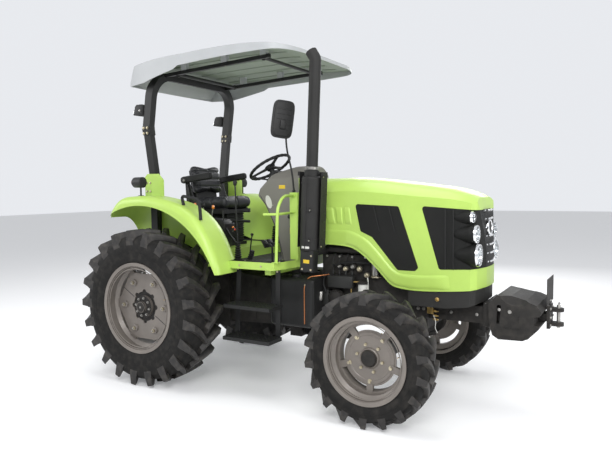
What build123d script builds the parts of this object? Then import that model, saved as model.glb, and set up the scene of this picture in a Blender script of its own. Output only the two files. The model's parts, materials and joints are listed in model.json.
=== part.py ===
from build123d import *
import os
from functools import lru_cache
from math import atan2, cos, degrees, hypot, radians, sin

# Farm tractor with a roll hoop and a canopy, millimetres, +X ahead, +Y to its left, +Z up.
# Every function works from the rear axle (x = 0) and the ground (z = 0); write() moves the
# finished piece so that the origin lies under the middle of the whole machine.

# Overall lengths, measured from the rear axle line
REAR_REACH = 1000.0
FRONT_REACH = 3400.0
WHEELBASE = 2180.0
REAR_TRACK = 1620.0
FRONT_TRACK = 1580.0

# Rear wheels
REAR_TYRE_R = 703.0
REAR_TYRE_W = 378.0
REAR_RIM_R = 407.0
REAR_RIM_W = 350.0
REAR_HOLE_R = 134.0
REAR_SHAFT_R = 40.0
REAR_TRUMPET_END = 590.0

# Front wheels
FRONT_TYRE_R = 498.0
FRONT_TYRE_W = 246.0
FRONT_RIM_R = 328.0
FRONT_RIM_W = 222.0
SPINDLE_R = 30.0
DRIVE_Z = 428.0

# Steered knuckles
KINGPIN_Y = 560.0
KINGPIN_R = 22.0
STEER_ARM = 150.0
TIE_Z = 365.0
TIE_R = 13.0

# Steering wheel and its column
WHEEL_X = 800.0
WHEEL_Z = 1955.0
WHEEL_TILT = 32.0
WHEEL_R = 205.0
WHEEL_PIN_R = 11.0
COLUMN_R = 26.0

# Clearances
FIT = 0.05
SEAT_GAP = 0.3
MOVE_GAP = 6.0

# Hood and nose
HOOD_REAR_X = 1364.0
NOSE_X = 2870.0
HOOD_HALF = 330.0
PANEL_OUT = HOOD_HALF + 68.0
HOOD_TOP_Z = 1852.0
PRESSING = 0.8
POCKET = 1.9
SHEET = 3.0
HINGE_X = 1376.0
HINGE_Z = 1822.0
HINGE_PIN_R = 6.0
HINGE_Y = 56.0

# Operator station
FLOOR_Z = 1100.0
LIP_TOP = 1141.0
LIP_BOTTOM = 1078.0
FLOOR_HALF = 700.0
DECK_Z = 1200.0
DECK_HALF = 474.0
FLOOR_FRONT = 1335.0
FLOOR_REAR = 600.0
FENDER_IN = 480.0
FENDER_OUT = 890.0
FENDER_TOP = 1700.0
FENDER_FOOT = 1040.0
FENDER_SHEET = 3.0
FENDER_ROLL = 66.0
FENDER_IN_ROLL = 190.0
FENDER_ARCH = 207.0
FENDER_MID_X = -30.0

# Roll hoop and canopy
LEG_X = -178.0
LEG_Y = 520.0
LEG_FOOT = 805.0
KNEE_Z = 1850.0
SPLICE_Z = 2330.0
SPLICE_Y = 592.0
HOOP_TOP = 2832.0
HOOP_BEND = 215.0
SEAT_PAN_Z = 1555.0
HOOP_LEAN = 75.0
LEG_W = 80.0
LEG_D = 60.0
RAIL_Y = 455.0
RAIL = 32.0
RAIL_FRONT_X = 1120.0
RAIL_FRONT_Z = 2878.0
CANOPY_REAR_X = -400.0
CANOPY_FRONT_X = 1420.0
CANOPY_HALF = 718.0
CANOPY_SHEET = 4.0

# Exhaust
STACK_X = 1520.0
STACK_Y = -515.0
STACK_FOOT = 1235.0
STACK_TOP = 2845.0
STACK_LEAN = 80.0
MUFFLER_R = 80.0
MUFFLER_TOP = 1850.0
SHIELD_HALF = 104.0
SHIELD_TOP = 1884.0
SHIELD_FOOT = 1262.0
SHIELD_SHEET = 3.0
PIPE_R = 48.0
PIPE_WALL = 3.0

# Rear hitch
ROCKSHAFT_X = -283.0
ROCKSHAFT_Z = 1053.0
LIFT_ARM = 320.0
LIFT_ARM_Y = 300.0
LIFT_ARM_ANGLE = 0.85
LIFT_ROD_Y = 335.0
LINK_X = -20.0
LINK_DROP = 248.0
LINK_Z = REAR_TYRE_R - LINK_DROP
LINK_ANGLE = 4.0
LINK_END_R = 38.0
LINK_LENGTH = (REAR_REACH - LINK_END_R + LINK_X) / cos(radians(LINK_ANGLE))
LINK_PICKUP = 430.0
LINK_FRONT_Y = 330.0
LINK_BALL_Y = 410.0
ROD_PIN_R = 8.0
ROD_EYE_R = 16.5
LINK_BORE_R = 14.35
LINK_PIN_R = 14.0
CASE_REAR_X = -330.0
CASE_HALF = 175.0
TOP_BORE_R = 12.85
TOP_LINK_Z = 905.0
TOP_LINK_LENGTH = 590.0
PTO_R = 17.45
PTO_Z = 640.0
DRAWBAR_HOLE_R = 16.5

# Front weight and tow clevis
WEIGHT_HALF = 250.0
TOW_PIN_R = 14.0
TOW_PIN_X = FRONT_REACH - 38.0

X_SHIFT = (REAR_REACH - FRONT_REACH) / 2


def write(name, shape):
    """Moves a finished piece to the machine's own origin and saves it."""
    os.makedirs("parts", exist_ok=True)
    export_step(Pos(X_SHIFT, 0, 0) * shape, "parts/" + name + ".step")


def box(x0, x1, y0, y1, z0, z1):
    return Pos((x0 + x1) / 2, (y0 + y1) / 2, (z0 + z1) / 2) * Box(x1 - x0, y1 - y0, z1 - z0)


def cyl_y(x, z, r, y0, y1):
    return Pos(x, (y0 + y1) / 2, z) * Rot(90, 0, 0) * Cylinder(r, abs(y1 - y0))


def cyl_x(y, z, r, x0, x1):
    return Pos((x0 + x1) / 2, y, z) * Rot(0, 90, 0) * Cylinder(r, abs(x1 - x0))


def cyl_z(x, y, r, z0, z1):
    return Pos(x, y, (z0 + z1) / 2) * Cylinder(r, abs(z1 - z0))


def mirrored(shape):
    return mirror(shape, about=Plane.XZ)


def side_face(points, corner=0.0):
    """A closed outline of (x, z) points as a face in the XZ plane, corners rounded."""
    wire = Polyline(*[(x, z) for x, z in points], close=True)
    face = make_face(wire)
    if corner > 0:
        face = fillet(face.vertices(), corner)
    return face


def slab(face, y0, y1):
    """Extrudes an (x, z) face between two y stations."""
    return Pos(0, max(y0, y1), 0) * Rot(90, 0, 0) * extrude(face, amount=abs(y1 - y0))


def plan(face, z0, z1):
    return Pos(0, 0, z0) * extrude(face, amount=z1 - z0)


def tube(points, r, bend):
    """A round bar swept along corner points with the same bend at each corner."""
    path = FilletPolyline(*points, radius=bend) if len(points) > 2 else Line(*points)
    return sweep(Plane(origin=path @ 0, z_dir=path % 0) * Circle(r), path=path)


def bar(p, q, width, depth):
    """A flat bar between two points of the XZ plane, centred on y = 0."""
    length = hypot(q[0] - p[0], q[1] - p[1])
    angle = -degrees(atan2(q[1] - p[1], q[0] - p[0]))
    middle = ((p[0] + q[0]) / 2, 0, (p[1] + q[1]) / 2)
    return Pos(*middle) * Rot(0, angle, 0) * Box(length, depth, width)


def wheel_ring(profile):
    """Turns an (offset, radius) outline about the axle, offset growing outward (+Y)."""
    wire = Polyline(*[(o, r) for o, r in profile], close=True)
    turned = revolve(make_face(wire), axis=Axis.X)
    return Rot(0, 0, 90) * turned


def tyre(radius, width, rim_r, rim_w):
    """The casing at its full outer radius: flat crown, round shoulders, bulged walls."""
    half = width / 2
    seat = rim_r - 22
    bead = rim_w / 2 - 14
    crown = [(k * half, radius - drop) for k, drop in ((-0.78, 14), (-0.42, 0), (0.42, 0), (0.78, 14))]
    wall = (radius + rim_r) / 2
    bulge = wall + 0.24 * (radius - rim_r)
    with BuildSketch() as outline:
        with BuildLine():
            Line(crown[1], crown[2])
            Line(crown[2], crown[3])
            Spline(crown[3], (0.985 * half, bulge), (half, wall), (bead + 8, rim_r + 10))
            Line((bead + 8, rim_r + 10), (bead, seat))
            Line((bead, seat), (-bead, seat))
            Line((-bead, seat), (-bead - 8, rim_r + 10))
            Spline((-bead - 8, rim_r + 10), (-half, wall), (-0.985 * half, bulge), crown[0])
            Line(crown[0], crown[1])
        make_face()
    return Rot(0, 0, 90) * revolve(outline.sketch, axis=Axis.X)


def rim_barrel(rim_r, rim_w, wall):
    """The rolled rim: two flanges, bead seats, a dropped middle."""
    half = rim_w / 2
    seat = rim_r - 22 - SEAT_GAP
    drop = seat - 32
    outer = [(-half, rim_r), (-half + 8, rim_r), (-half + 10, seat), (-0.42 * half, seat - 3),
             (-0.26 * half, drop), (0.26 * half, drop), (0.42 * half, seat - 3), (half - 10, seat),
             (half - 8, rim_r), (half, rim_r)]
    right = [(half, rim_r - 12), (half - 4, seat - wall), (0.44 * half, seat - 3 - wall)]
    right = right + [(0.28 * half, drop - wall)]
    inner = right + [(-o, r) for o, r in right[::-1]]
    return wheel_ring(outer + inner)


def disc_y(r, y0, y1):
    return cyl_y(0, 0, r, y0, y1)


def rear_wheel():
    """Rim, split disc on six lugs round a lobed opening, hub and stub shaft, centred on the wheel."""
    inner_r = REAR_RIM_R - 22 - 32 - 8 - SEAT_GAP
    face = 62.0
    edge = inner_r - 26
    disc = disc_y(edge, face - 6, face + 6) - disc_y(REAR_HOLE_R, face - 20, face + 20)
    for k in range(6):
        disc = disc - Rot(0, 30 + 60 * k, 0) * Pos(edge, 0, 0) * box(-22, 60, face - 20, face + 20, -95, 95)
    for k in range(8):
        disc = disc - Rot(0, 45 * k, 0) * cyl_y(REAR_HOLE_R, 0, 22, face - 20, face + 20)
    disc = disc - Rot(0, 31, 0) * box(-edge - 5, edge + 5, face, face + 20, -2, 2)
    lug = box(inner_r - 66, inner_r + 4, face - 26, face - 4, -36, 36)
    stud = Pos(inner_r - 105, face + 6, 0) * Rot(-90, 0, 0) * Cone(36, 27, 20)
    hub = disc_y(REAR_HOLE_R + 32, face - 40, face - 6) + disc_y(98, face - 10, face + 22)
    hub = hub + disc_y(48, face + 20, face + 58)
    shaft_end = REAR_TRUMPET_END - 70 - REAR_TRACK / 2
    shaft = disc_y(REAR_SHAFT_R, shaft_end, face)
    body = rim_barrel(REAR_RIM_R, REAR_RIM_W, 8) + disc + hub + shaft
    for k in range(6):
        body = body + Rot(0, 60 * k, 0) * (lug + stud)
    return body


def front_wheel():
    """Rim, round disc on five bent lugs and the hub that turns on the spindle."""
    inner_r = FRONT_RIM_R - 22 - 32 - 7 - SEAT_GAP
    face = -12.0
    disc = disc_y(208, face - 5, face + 5)
    lugs = []
    for k in range(5):
        arm = box(170, inner_r + 4, face - 12, face + 12, -26, 26)
        lugs.append(Rot(0, 90 + 72 * k, 0) * arm)
    hub = disc_y(125, face - 45, face) + disc_y(60, face, face + 26)
    body = rim_barrel(FRONT_RIM_R, FRONT_RIM_W, 7) + disc + hub
    for piece in lugs:
        body = body + piece
    bore = disc_y(SPINDLE_R + FIT, face - 60, face + 4)
    return body - bore


def place_wheel(shape, x, track, z, side):
    """Sets a wheel made with its outer face at +Y on the left (+1) or right (-1)."""
    set_out = Pos(x, track / 2, z) * shape
    return set_out if side > 0 else mirrored(set_out)


def rear_axle_housing():
    """Centre case, two trumpets with stepped flanges, hoop feet and lower link pins."""
    z = REAR_TYRE_R
    end = REAR_TRUMPET_END
    bore = REAR_SHAFT_R + FIT
    root = CASE_HALF + SEAT_GAP
    trumpet = wheel_ring([(root, 0), (root, 165), (300, 165), (330, 104), (end - 40, 92), (end - 40, 118),
                          (end, 118), (end, bore), (end - 75, bore), (end - 75, 0)])
    case = box(-120, 120, -root - 5, root + 5, z - 130, z + 130)
    for side in (1, -1):
        arm = Pos(0, 0, z) * trumpet
        post = box(LEG_X - 72, 44, LEG_Y - 46, LEG_Y - 10, z - 60, z + 66)
        post = post + box(LEG_X - 72, LEG_X + 72, LEG_Y - 46, LEG_Y + 16, z - 60, LEG_FOOT - 6)
        post = post + box(LEG_X - 80, LEG_X + 80, LEG_Y - 60, LEG_Y + 44, LEG_FOOT - 12, LEG_FOOT)
        post = post - cyl_y(0, z, bore + 20, LEG_Y - 60, LEG_Y + 60)
        hanger = box(LINK_X - 60, LINK_X + 60, LINK_FRONT_Y - 60, LINK_FRONT_Y - 24, LINK_Z - 50, z - 30)
        pin = cyl_y(LINK_X, LINK_Z, LINK_PIN_R - FIT, LINK_FRONT_Y - 40, LINK_FRONT_Y + 30)
        half = arm + post + hanger + pin
        case = case + (half if side > 0 else mirrored(half))
    return case


def transmission_housing():
    """Clutch bell, gearbox and rear case, with the lift cover on top."""
    rear = box(-190, 420, -CASE_HALF, CASE_HALF, 430, 985)
    middle = slab(side_face([(420, 470), (1080, 500), (1080, 900), (420, 960)]), -150, 150)
    bell = slab(side_face([(1080, 480), (1470, 560), (1470, 1030), (1080, 930)]), -190, 190)
    cover = box(CASE_REAR_X, 360, -165, 165, 985, 1150)
    shaft = cyl_y(ROCKSHAFT_X, ROCKSHAFT_Z, 62, -210, 210)
    case = rear + middle + bell + cover + shaft + box(CASE_REAR_X, -190, -120, 120, 560, 1000)
    case = case - cyl_y(ROCKSHAFT_X, ROCKSHAFT_Z, 32 + FIT, -240, 240)
    reach = 120 + SEAT_GAP
    case = case - box(-reach, reach, -185, 185, REAR_TYRE_R - 130 - SEAT_GAP, REAR_TYRE_R + 130 + SEAT_GAP)
    bracket = box(CASE_REAR_X - 60, CASE_REAR_X, -46, 46, TOP_LINK_Z - 45, TOP_LINK_Z + 45)
    bracket = bracket - box(CASE_REAR_X - 80, CASE_REAR_X - 5, -27, 27, TOP_LINK_Z - 80, TOP_LINK_Z + 80)
    pin = cyl_y(CASE_REAR_X - 40, TOP_LINK_Z, TOP_BORE_R - FIT, -46, 46)
    return case + bracket + pin


def engine_block():
    """Plain heavy block with sump, block and head at their real place and size."""
    sump = slab(side_face([(1520, 640), (1620, 560), (2060, 600), (2060, 700), (1520, 760)], 12), -130, 130)
    body = box(1475, 2290, -205, 205, 700, 1180)
    head = box(1500, 2260, -165, 165, 1180, 1400)
    cover = box(1540, 2220, -110, 110, 1400, 1500)
    return body + sump + head + cover


def front_support():
    """Cast bolster on the engine's front with two rails that carry the weight."""
    x = WHEELBASE
    block = box(x - 113.7, x + 150, -150, 150, 612, 699.5) + box(2290.5, 2420, -205, 205, 620, 900)
    rail = box(2330, 2890, 110, 165, 700, 830)
    plate = box(2860, 2905.7, -205, 205, 690, 868)
    shelf = box(2330, 2890, -160, 160, 812, 830)
    return block + rail + mirrored(rail) + plate + shelf


def front_axle():
    """Driven beam with the offset differential and a boss at each kingpin."""
    z = FRONT_TYRE_R
    beam = slab(side_face([(-60, -60), (60, -60), (60, 60), (-60, 60)], 18), -KINGPIN_Y + 40, KINGPIN_Y - 40)
    beam = Pos(WHEELBASE, 0, z) * beam
    carrier = Pos(WHEELBASE, 0, z) * Sphere(128)
    carrier = carrier & box(WHEELBASE - 130, WHEELBASE + 130, -130, 130, z - 128, 611.5)
    boss = cyl_z(WHEELBASE, KINGPIN_Y, 52, z - 72, z + 72)
    pin = cyl_z(WHEELBASE, KINGPIN_Y, KINGPIN_R, z - 118, z + 118)
    half = boss + pin
    shaft = cyl_x(0, DRIVE_Z, 28, 1100, WHEELBASE - 60)
    rear_end = box(1040, 1160, -62, 62, DRIVE_Z - 48, 479.5)
    return beam + carrier + half + mirrored(half) + shaft + rear_end


def knuckle():
    """Swivel housing round the kingpin with the spindle and the steering arm (left side)."""
    z = FRONT_TYRE_R
    x = WHEELBASE
    cheek_in = 72 + MOVE_GAP
    top = cyl_z(x, KINGPIN_Y, 58, z + cheek_in, z + 112)
    low = cyl_z(x, KINGPIN_Y, 58, z - 112, z - cheek_in)
    wall_y = KINGPIN_Y + 52 + MOVE_GAP + 6
    wall = cyl_y(x, z, 112, wall_y, wall_y + 70)
    link_top = box(x - 45, x + 45, KINGPIN_Y, wall_y + 20, z + cheek_in, z + 112)
    link_low = box(x - 45, x + 45, KINGPIN_Y, wall_y + 20, z - 112, z - cheek_in)
    hub_face = FRONT_TRACK / 2 - 12 - 45 - 1.0
    spindle = cyl_y(x, z, SPINDLE_R, wall_y + 60, FRONT_TRACK / 2 - 12)
    neck = cyl_y(x, z, 90, wall_y + 60, hub_face)
    arm = box(x - STEER_ARM - 20, x - 20, KINGPIN_Y - 24, KINGPIN_Y + 24, z - 112, z - 88)
    eye = cyl_z(x - STEER_ARM, KINGPIN_Y, 26, z - 112, z - 88)
    stud = cyl_z(x - STEER_ARM, KINGPIN_Y, 9, TIE_Z - 18, z - 100)
    body = top + low + wall + link_top + link_low + neck + spindle + arm + eye + stud
    pin_hole = cyl_z(x, KINGPIN_Y, KINGPIN_R + FIT, z - 130, z + 130)
    return body - pin_hole - cyl_z(x, KINGPIN_Y, 52 + MOVE_GAP, z - 77, z + 77)


def tie_rod():
    """One bar between the two steering arms, behind the axle."""
    x = WHEELBASE - STEER_ARM
    bar_part = cyl_y(x, TIE_Z, TIE_R, -KINGPIN_Y + 15, KINGPIN_Y - 15)
    head = cyl_z(x, KINGPIN_Y, 22, TIE_Z - 15, TIE_Z + 15)
    hole = cyl_z(x, KINGPIN_Y, 9 + FIT, TIE_Z - 60, TIE_Z + 60)
    return bar_part + head + mirrored(head) - hole - mirrored(hole)


def hood_section(x, half, crease, top, foot, inset):
    """One closed cross outline of the hood: upright sides, soft shoulders, domed top."""
    w = half - inset
    wc = 0.965 * half - inset
    zc = crease - 0.5 * inset
    zt = top - inset
    zs = zc + 0.78 * (zt - zc)
    points = [(wc, zc), (0.70 * wc, zs), (0, zt), (-0.70 * wc, zs), (-wc, zc)]
    plane = Plane(origin=(x, 0, 0), x_dir=(0, 1, 0), z_dir=(1, 0, 0))
    with BuildSketch(plane) as outline:
        with BuildLine():
            Line((-w, foot), (w, foot))
            Line((w, foot), (wc, zc))
            Spline(*points)
            Line((-wc, zc), (-w, foot))
        make_face()
    return outline.sketch


# Hood cross sections: x, then how far the side, the crease and the crown lie inside the
# hood's half width and below its top.
HOOD_STATIONS = [(1300, 6, 114, -4), (1700, 0, 130, 16), (2150, 0, 154, 49), (2550, 4, 188, 102),
                 (2740, 18, 216, 150), (2900, 44, 292, 260)]
HOOD_BELLY = [(1200, 1278), (1506, 1276), (1700, 1272), (1825, 1250), (1925, 1190), (2017, 1112),
              (2110, 1018), (2170, 968), (2240, 950), (2605, 951), (2760, 964), (2960, 996)]
REAR_WINDOW = [(1842, 1618), (2222, 1600), (2388, 1120), (2360, 1094), (2214, 1093), (1994, 1349),
               (1890, 1394)]
FRONT_WINDOW = [(2408, 1603), (2550, 1116), (2990, 1136), (2990, 1560)]
SIDE_PANEL = [(1450, 1652), (1828, 1628), (1868, 1404), (1450, 1410)]
SIDE_POCKETS = [[(1550, 1597), (1636, 1596), (1662, 1453), (1594, 1455)],
                [(1660, 1592), (1722, 1588), (1738, 1444), (1684, 1449)],
                [(1746, 1586), (1792, 1582), (1816, 1438), (1760, 1442)]]
NOSE_LINE = [(NOSE_X - 62, 1700), (NOSE_X - 41, 1600), (NOSE_X - 18, 1400), (NOSE_X - 2, 1180), (NOSE_X, 900)]


@lru_cache(maxsize=None)
def hood_form(inset, foot=700.0):
    """The solid inside the hood's outer skin, drawn in by an inset on every side."""
    top = HOOD_TOP_Z
    cuts = [hood_section(x, HOOD_HALF - w, top - c, top - t, foot, inset) for x, w, c, t in HOOD_STATIONS]
    solid = loft(cuts)
    front = [(x - inset, z) for x, z in NOSE_LINE]
    keep = side_face([(1250, 500), (NOSE_X - inset, 500)] + front[::-1] + [(2700, 2000), (1250, 2000)])
    solid = solid & slab(keep, -600, 600)
    half = HOOD_HALF + 20 - inset
    mid = 0.758 * HOOD_HALF
    tip = 0.364 * HOOD_HALF
    nose = make_face(
        Polyline((1200, -half), (2600, -half), (NOSE_X - 110, -half + 14), (NOSE_X - 48 - inset, -mid),
                 (NOSE_X - 8 - inset, -tip), (NOSE_X + 2 - inset, 0), (NOSE_X - 8 - inset, tip),
                 (NOSE_X - 48 - inset, mid), (NOSE_X - 110, half - 14), (2600, half), (1200, half),
                 close=True))
    return solid & plan(nose, 400, 2100)


def belly_cut(drop, x_rear=1100.0):
    """Everything under the hood's lower edge, shifted down by drop."""
    low = [(x, z - drop) for x, z in HOOD_BELLY]
    with BuildSketch() as outline:
        with BuildLine():
            Spline(*low)
            Polyline(low[-1], (low[-1][0], 300), (low[0][0], 300), low[0])
        make_face()
    return slab(outline.sketch, -700, 700)


def window(points, corner, grow=0.0):
    face = side_face(points, corner)
    if grow > 0:
        face = offset(face, amount=grow)
    return slab(face, -700, 700)


def hood():
    """One-piece tilting hood, 3 mm sheet, windows cut, open below and behind."""
    shell = hood_form(0.0) - box(1200, HOOD_REAR_X, -600, 600, 500, 2100)
    shell = shell - (hood_form(SHEET) + Pos(-4, 0, 0) * hood_form(SHEET))
    shell = shell - belly_cut(0.0)
    shell = shell - window(REAR_WINDOW, 22) - window(FRONT_WINDOW, 22)
    for outline, corner, depth in [(SIDE_PANEL, 16, PRESSING)] + [(o, 7, POCKET) for o in SIDE_POCKETS]:
        relief = slab(side_face(outline, corner), 200, 700) - hood_form(depth)
        shell = shell - relief - mirrored(relief)
    y = HINGE_Y + 11
    tab = box(HINGE_X - 10, HINGE_X + 34, y, y + 16, HINGE_Z - 12, HINGE_Z + 40) & hood_form(1.0)
    hole = cyl_y(HINGE_X, HINGE_Z, HINGE_PIN_R + FIT, y - 20, y + 40)
    return (shell + tab + mirrored(tab)) - hole - mirrored(hole)


def grille():
    """Dark nose insert and side screens behind the window openings, with lamp pods."""
    t0 = SHEET + SEAT_GAP
    skin = hood_form(t0) - hood_form(t0 + 4)
    near = window(FRONT_WINDOW, 22, 12) + window(REAR_WINDOW, 22, 12)
    body = (skin & near) & box(1500, 3000, -600, 600, 1080, 1700)
    for x, y, z, r in LAMPS:
        pod = cyl_x(y, z, r + 7, x - 34, x) + Pos(x - 99, y, z) * Rot(0, 90, 0) * Cone(0.62 * r, r + 7, 130)
        body = body + pod + mirrored(pod)
    hollow = hood_form(t0 + 4)
    for x, y, z, r in LAMPS:
        bore = cyl_x(y, z, r + SEAT_GAP, x - 40, x + 20)
        body = body - bore - mirrored(bore)
    return body - (hollow & box(1500, 2700, -600, 600, 900, 1700))


LAMPS = [(NOSE_X - 83, HOOD_HALF - 60, 1517, 50), (NOSE_X - 54, HOOD_HALF - 62, 1392, 68),
         (NOSE_X - 40, HOOD_HALF - 72, 1234, 84)]


def headlamps():
    """Six round lamps with domed lenses set in the pods."""
    lamps = None
    for x, y, z, r in LAMPS:
        lamp = cyl_x(y, z, r, x - 39, x + 16)
        rim = lamp.edges().filter_by(lambda e: e.center().X > x + 10)
        lamp = fillet(rim, 13)
        pair = lamp + mirrored(lamp)
        lamps = pair if lamps is None else lamps + pair
    return lamps


def nose_skirt():
    """Fixed dark band under the nose, standing inside the hood's lower edge."""
    inset = SHEET + MOVE_GAP + 3
    ring = hood_form(inset) - hood_form(inset + 4)
    low = [(2280, 700), (2280, 822), (2600, 818), (2760, 838), (2900, 882), (2900, 700)]
    ring = ring & box(2300, 2900, -600, 600, 780, 985)
    ring = ring - slab(side_face(low), -600, 600)
    tie = box(2420, 2470, -400, 400, 830.3, 846) & hood_form(inset + 2)
    return ring + tie


def heat_shield():
    """Folded guard between silencer and hood, open outward, with its flared top corners."""
    w = SHIELD_HALF
    back = MUFFLER_R + 14
    z0 = SHIELD_FOOT - STACK_FOOT
    z1 = SHIELD_TOP - STACK_FOOT
    outline = fillet(Rectangle(2 * w, back + 130).vertices(), 22)
    fold = outline - offset(outline, amount=-SHIELD_SHEET)
    shield = Pos(0, (back - 130) / 2, 0) * plan(fold, z0, z1) - box(-200, 200, -300, -22, z0 - 5, z1 + 5)
    for side in (1, -1):
        x = side * w
        ear = box(min(x, x + side * 16), max(x, x + side * 16), -22, 40, z1 - 34, z1)
        shield = shield + ear + box(side * 70 - 14, side * 70 + 14, -10, 10, z0 + 60, z0 + 66)
    for z in (z0 + 90, z1 - 90):
        shield = shield + box(-14, 14, MUFFLER_R - 12, back - 1, z - 14, z + 14)
    return shield


def exhaust():
    """Vertical silencer with its guard, the tall pipe leaning ahead and its cut, bent tip."""
    lean = degrees(atan2(STACK_LEAN, STACK_TOP - STACK_FOOT))
    height = STACK_TOP - STACK_FOOT
    muffler = cyl_z(0, 0, MUFFLER_R, 0, MUFFLER_TOP - STACK_FOOT)
    muffler = fillet(muffler.edges().filter_by(GeomType.CIRCLE), 22)
    neck = cyl_z(0, 0, PIPE_R + 14, MUFFLER_TOP - STACK_FOOT - 6, MUFFLER_TOP - STACK_FOOT + 46)
    path = FilletPolyline((0, 0, MUFFLER_TOP - STACK_FOOT), (0, 0, height - 60), (-42, 0, height), radius=60)
    pipe = sweep(Plane(origin=path @ 0, z_dir=path % 0) * Circle(PIPE_R), path=path)
    bore = Pos(0, 0, height - 300) * Cylinder(PIPE_R - PIPE_WALL, 100)
    seam = cyl_z(0, 0, MUFFLER_R + 4, MUFFLER_TOP - STACK_FOOT - 62, MUFFLER_TOP - STACK_FOOT - 50)
    stack = muffler + seam + neck + pipe + heat_shield()
    upper = FilletPolyline((0, 0, height - 300), (0, 0, height - 60), (-42 - 8, 0, height + 11), radius=60)
    bore = sweep(Plane(origin=upper @ 0, z_dir=upper % 0) * Circle(PIPE_R - PIPE_WALL), path=upper)
    stack = stack - bore
    stack = Pos(STACK_X, STACK_Y, STACK_FOOT) * Rot(0, lean, 0) * stack
    low = STACK_FOOT - 13
    port = (STACK_X, -165 - SEAT_GAP, low)
    elbow = tube([(STACK_X, STACK_Y, low + 60), (STACK_X, STACK_Y, low), port], 36, 42)
    return stack + elbow


def firewall():
    """Green bulkhead behind the engine with an upright panel at each side."""
    y = PANEL_OUT
    wall = box(1318, 1322, 63 - y, y - 63, FLOOR_Z + SEAT_GAP, 1838)
    post = box(1262, 1340, y - 62, y, LIP_TOP, 1716)
    post = post - box(1266, 1336, y - 98, y - 4, LIP_TOP - 10, 1712)
    web = box(1262, 1340, y - 68, y - 58, LIP_TOP, 1716)
    ear = slab(side_face([(1321, 1770), (1321, 1806), (HINGE_X - 10, HINGE_Z - 8), (HINGE_X + 8, HINGE_Z - 8),
                          (HINGE_X + 8, HINGE_Z - 16)]), HINGE_Y - 8, HINGE_Y + 8)
    ear = ear + cyl_y(HINGE_X, HINGE_Z, HINGE_PIN_R + 5, HINGE_Y - 8, HINGE_Y + 8)
    ear = ear + cyl_y(HINGE_X, HINGE_Z, HINGE_PIN_R, HINGE_Y, HINGE_Y + 34)
    half = post + web + ear
    return wall + half + mirrored(half)


COWL_TOP = 1956.0
COWL_DOME_R = 270.0
COWL_OUTLINE = [(800, 1690), (822, 1752), (965, 1884), (1150, 1950), (1317.7, COWL_TOP), (1317.7, 1000),
                (1075, 1000), (1000, 1370), (880, 1600)]


def cowl_form(inset):
    """The cowl's rounded outer solid, drawn in by an inset and left long ahead and below."""
    face = side_face(COWL_OUTLINE, 26)
    if inset > 0:
        face = offset(face, amount=-inset)
    half = 222 - inset
    solid = slab(face, -half, half)
    rims = solid.edges().filter_by(lambda e: abs(abs(e.center().Y) - half) < 0.5)
    centre_z = COWL_TOP - COWL_DOME_R
    dome = cyl_x(0, centre_z, COWL_DOME_R - inset, 600, 1500) + box(600, 1500, -260, 260, 900, centre_z)
    return fillet(rims, 24 - inset) & dome


def dash_cowl():
    """Moulded grey cowl round the column: rounded shell, open to the front and below."""
    shell = cowl_form(0.0) - cowl_form(5.0)
    shell = shell & box(700, 1400, -300, 300, FLOOR_Z + SEAT_GAP, 2000)
    axis = Pos(WHEEL_X, 0, WHEEL_Z) * Rot(0, -WHEEL_TILT, 0)
    hole = axis * Pos(0, 0, -150) * Cylinder(COLUMN_R + SEAT_GAP, 460)
    return shell - hole - axis * Pos(0, 0, -150 + 45) * Cylinder(44 + SEAT_GAP, 80)


def steering_column():
    """Column from the cowl to the wheel hub along the wheel's own axis, ending in a pin."""
    axis = Pos(WHEEL_X, 0, WHEEL_Z) * Rot(0, -WHEEL_TILT, 0)
    top = -28 - MOVE_GAP
    shaft = Pos(0, 0, top - 150) * Cylinder(COLUMN_R, 300)
    cup = Pos(0, 0, top - 55) * Cylinder(44, 60)
    pin = Pos(0, 0, top / 2 - 12) * Cylinder(WHEEL_PIN_R, -top + 8)
    return axis * (shaft + cup + pin)


def steering_wheel():
    """Three-spoke wheel; its axis leans back by the column's tilt."""
    rim = Torus(WHEEL_R, 15)
    hub = Pos(0, 0, -6) * Cylinder(42, 44)
    wheel = rim + hub
    for k in range(3):
        spoke = Rot(0, 0, 90 + 120 * k) * Pos(WHEEL_R / 2, 0, -2) * Box(WHEEL_R - 10, 26, 12)
        wheel = wheel + spoke
    wheel = wheel - Pos(0, 0, -20) * Cylinder(WHEEL_PIN_R + FIT, 50)
    cap = Pos(0, 0, 14) * Cylinder(42, 8)
    return Pos(WHEEL_X, 0, WHEEL_Z) * Rot(0, -WHEEL_TILT, 0) * (wheel + cap)


def platform():
    """Folded floor with a lip, chamfered front corners, and the raised deck for the seat."""
    corners = [(FLOOR_REAR, -FLOOR_HALF), (1290, -FLOOR_HALF), (FLOOR_FRONT, -420), (FLOOR_FRONT, 420),
               (1290, FLOOR_HALF), (FLOOR_REAR, FLOOR_HALF)]
    face = make_face(Polyline(*corners, close=True))
    inner = offset(face, amount=-6)
    pan = plan(face, LIP_BOTTOM, LIP_TOP) - plan(inner, FLOOR_Z, LIP_TOP + 50)
    pan = pan - plan(inner, LIP_BOTTOM - 50, FLOOR_Z - 6)
    riser = box(FLOOR_REAR, FLOOR_REAR + 6, -DECK_HALF, DECK_HALF, LIP_BOTTOM, DECK_Z)
    deck = box(-380, FLOOR_REAR + 6, -DECK_HALF, DECK_HALF, DECK_Z - 5, DECK_Z)
    for side in (1, -1):
        notch = box(FLOOR_REAR - 10, FLOOR_REAR + 60, DECK_HALF + 3, FLOOR_HALF + 10, FLOOR_Z + 1,
                    LIP_TOP + 10)
        pan = pan - (notch if side > 0 else mirrored(notch))
    beam = box(1160, 1220, -640, 640, 1031, FLOOR_Z - 4)
    pillow = box(80, 280, -150, 150, 1150.3, DECK_Z - 5)
    beam = beam - box(1100, 1300, -192, 192, 900, 1031)
    return pan + riser + deck + beam + pillow


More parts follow.
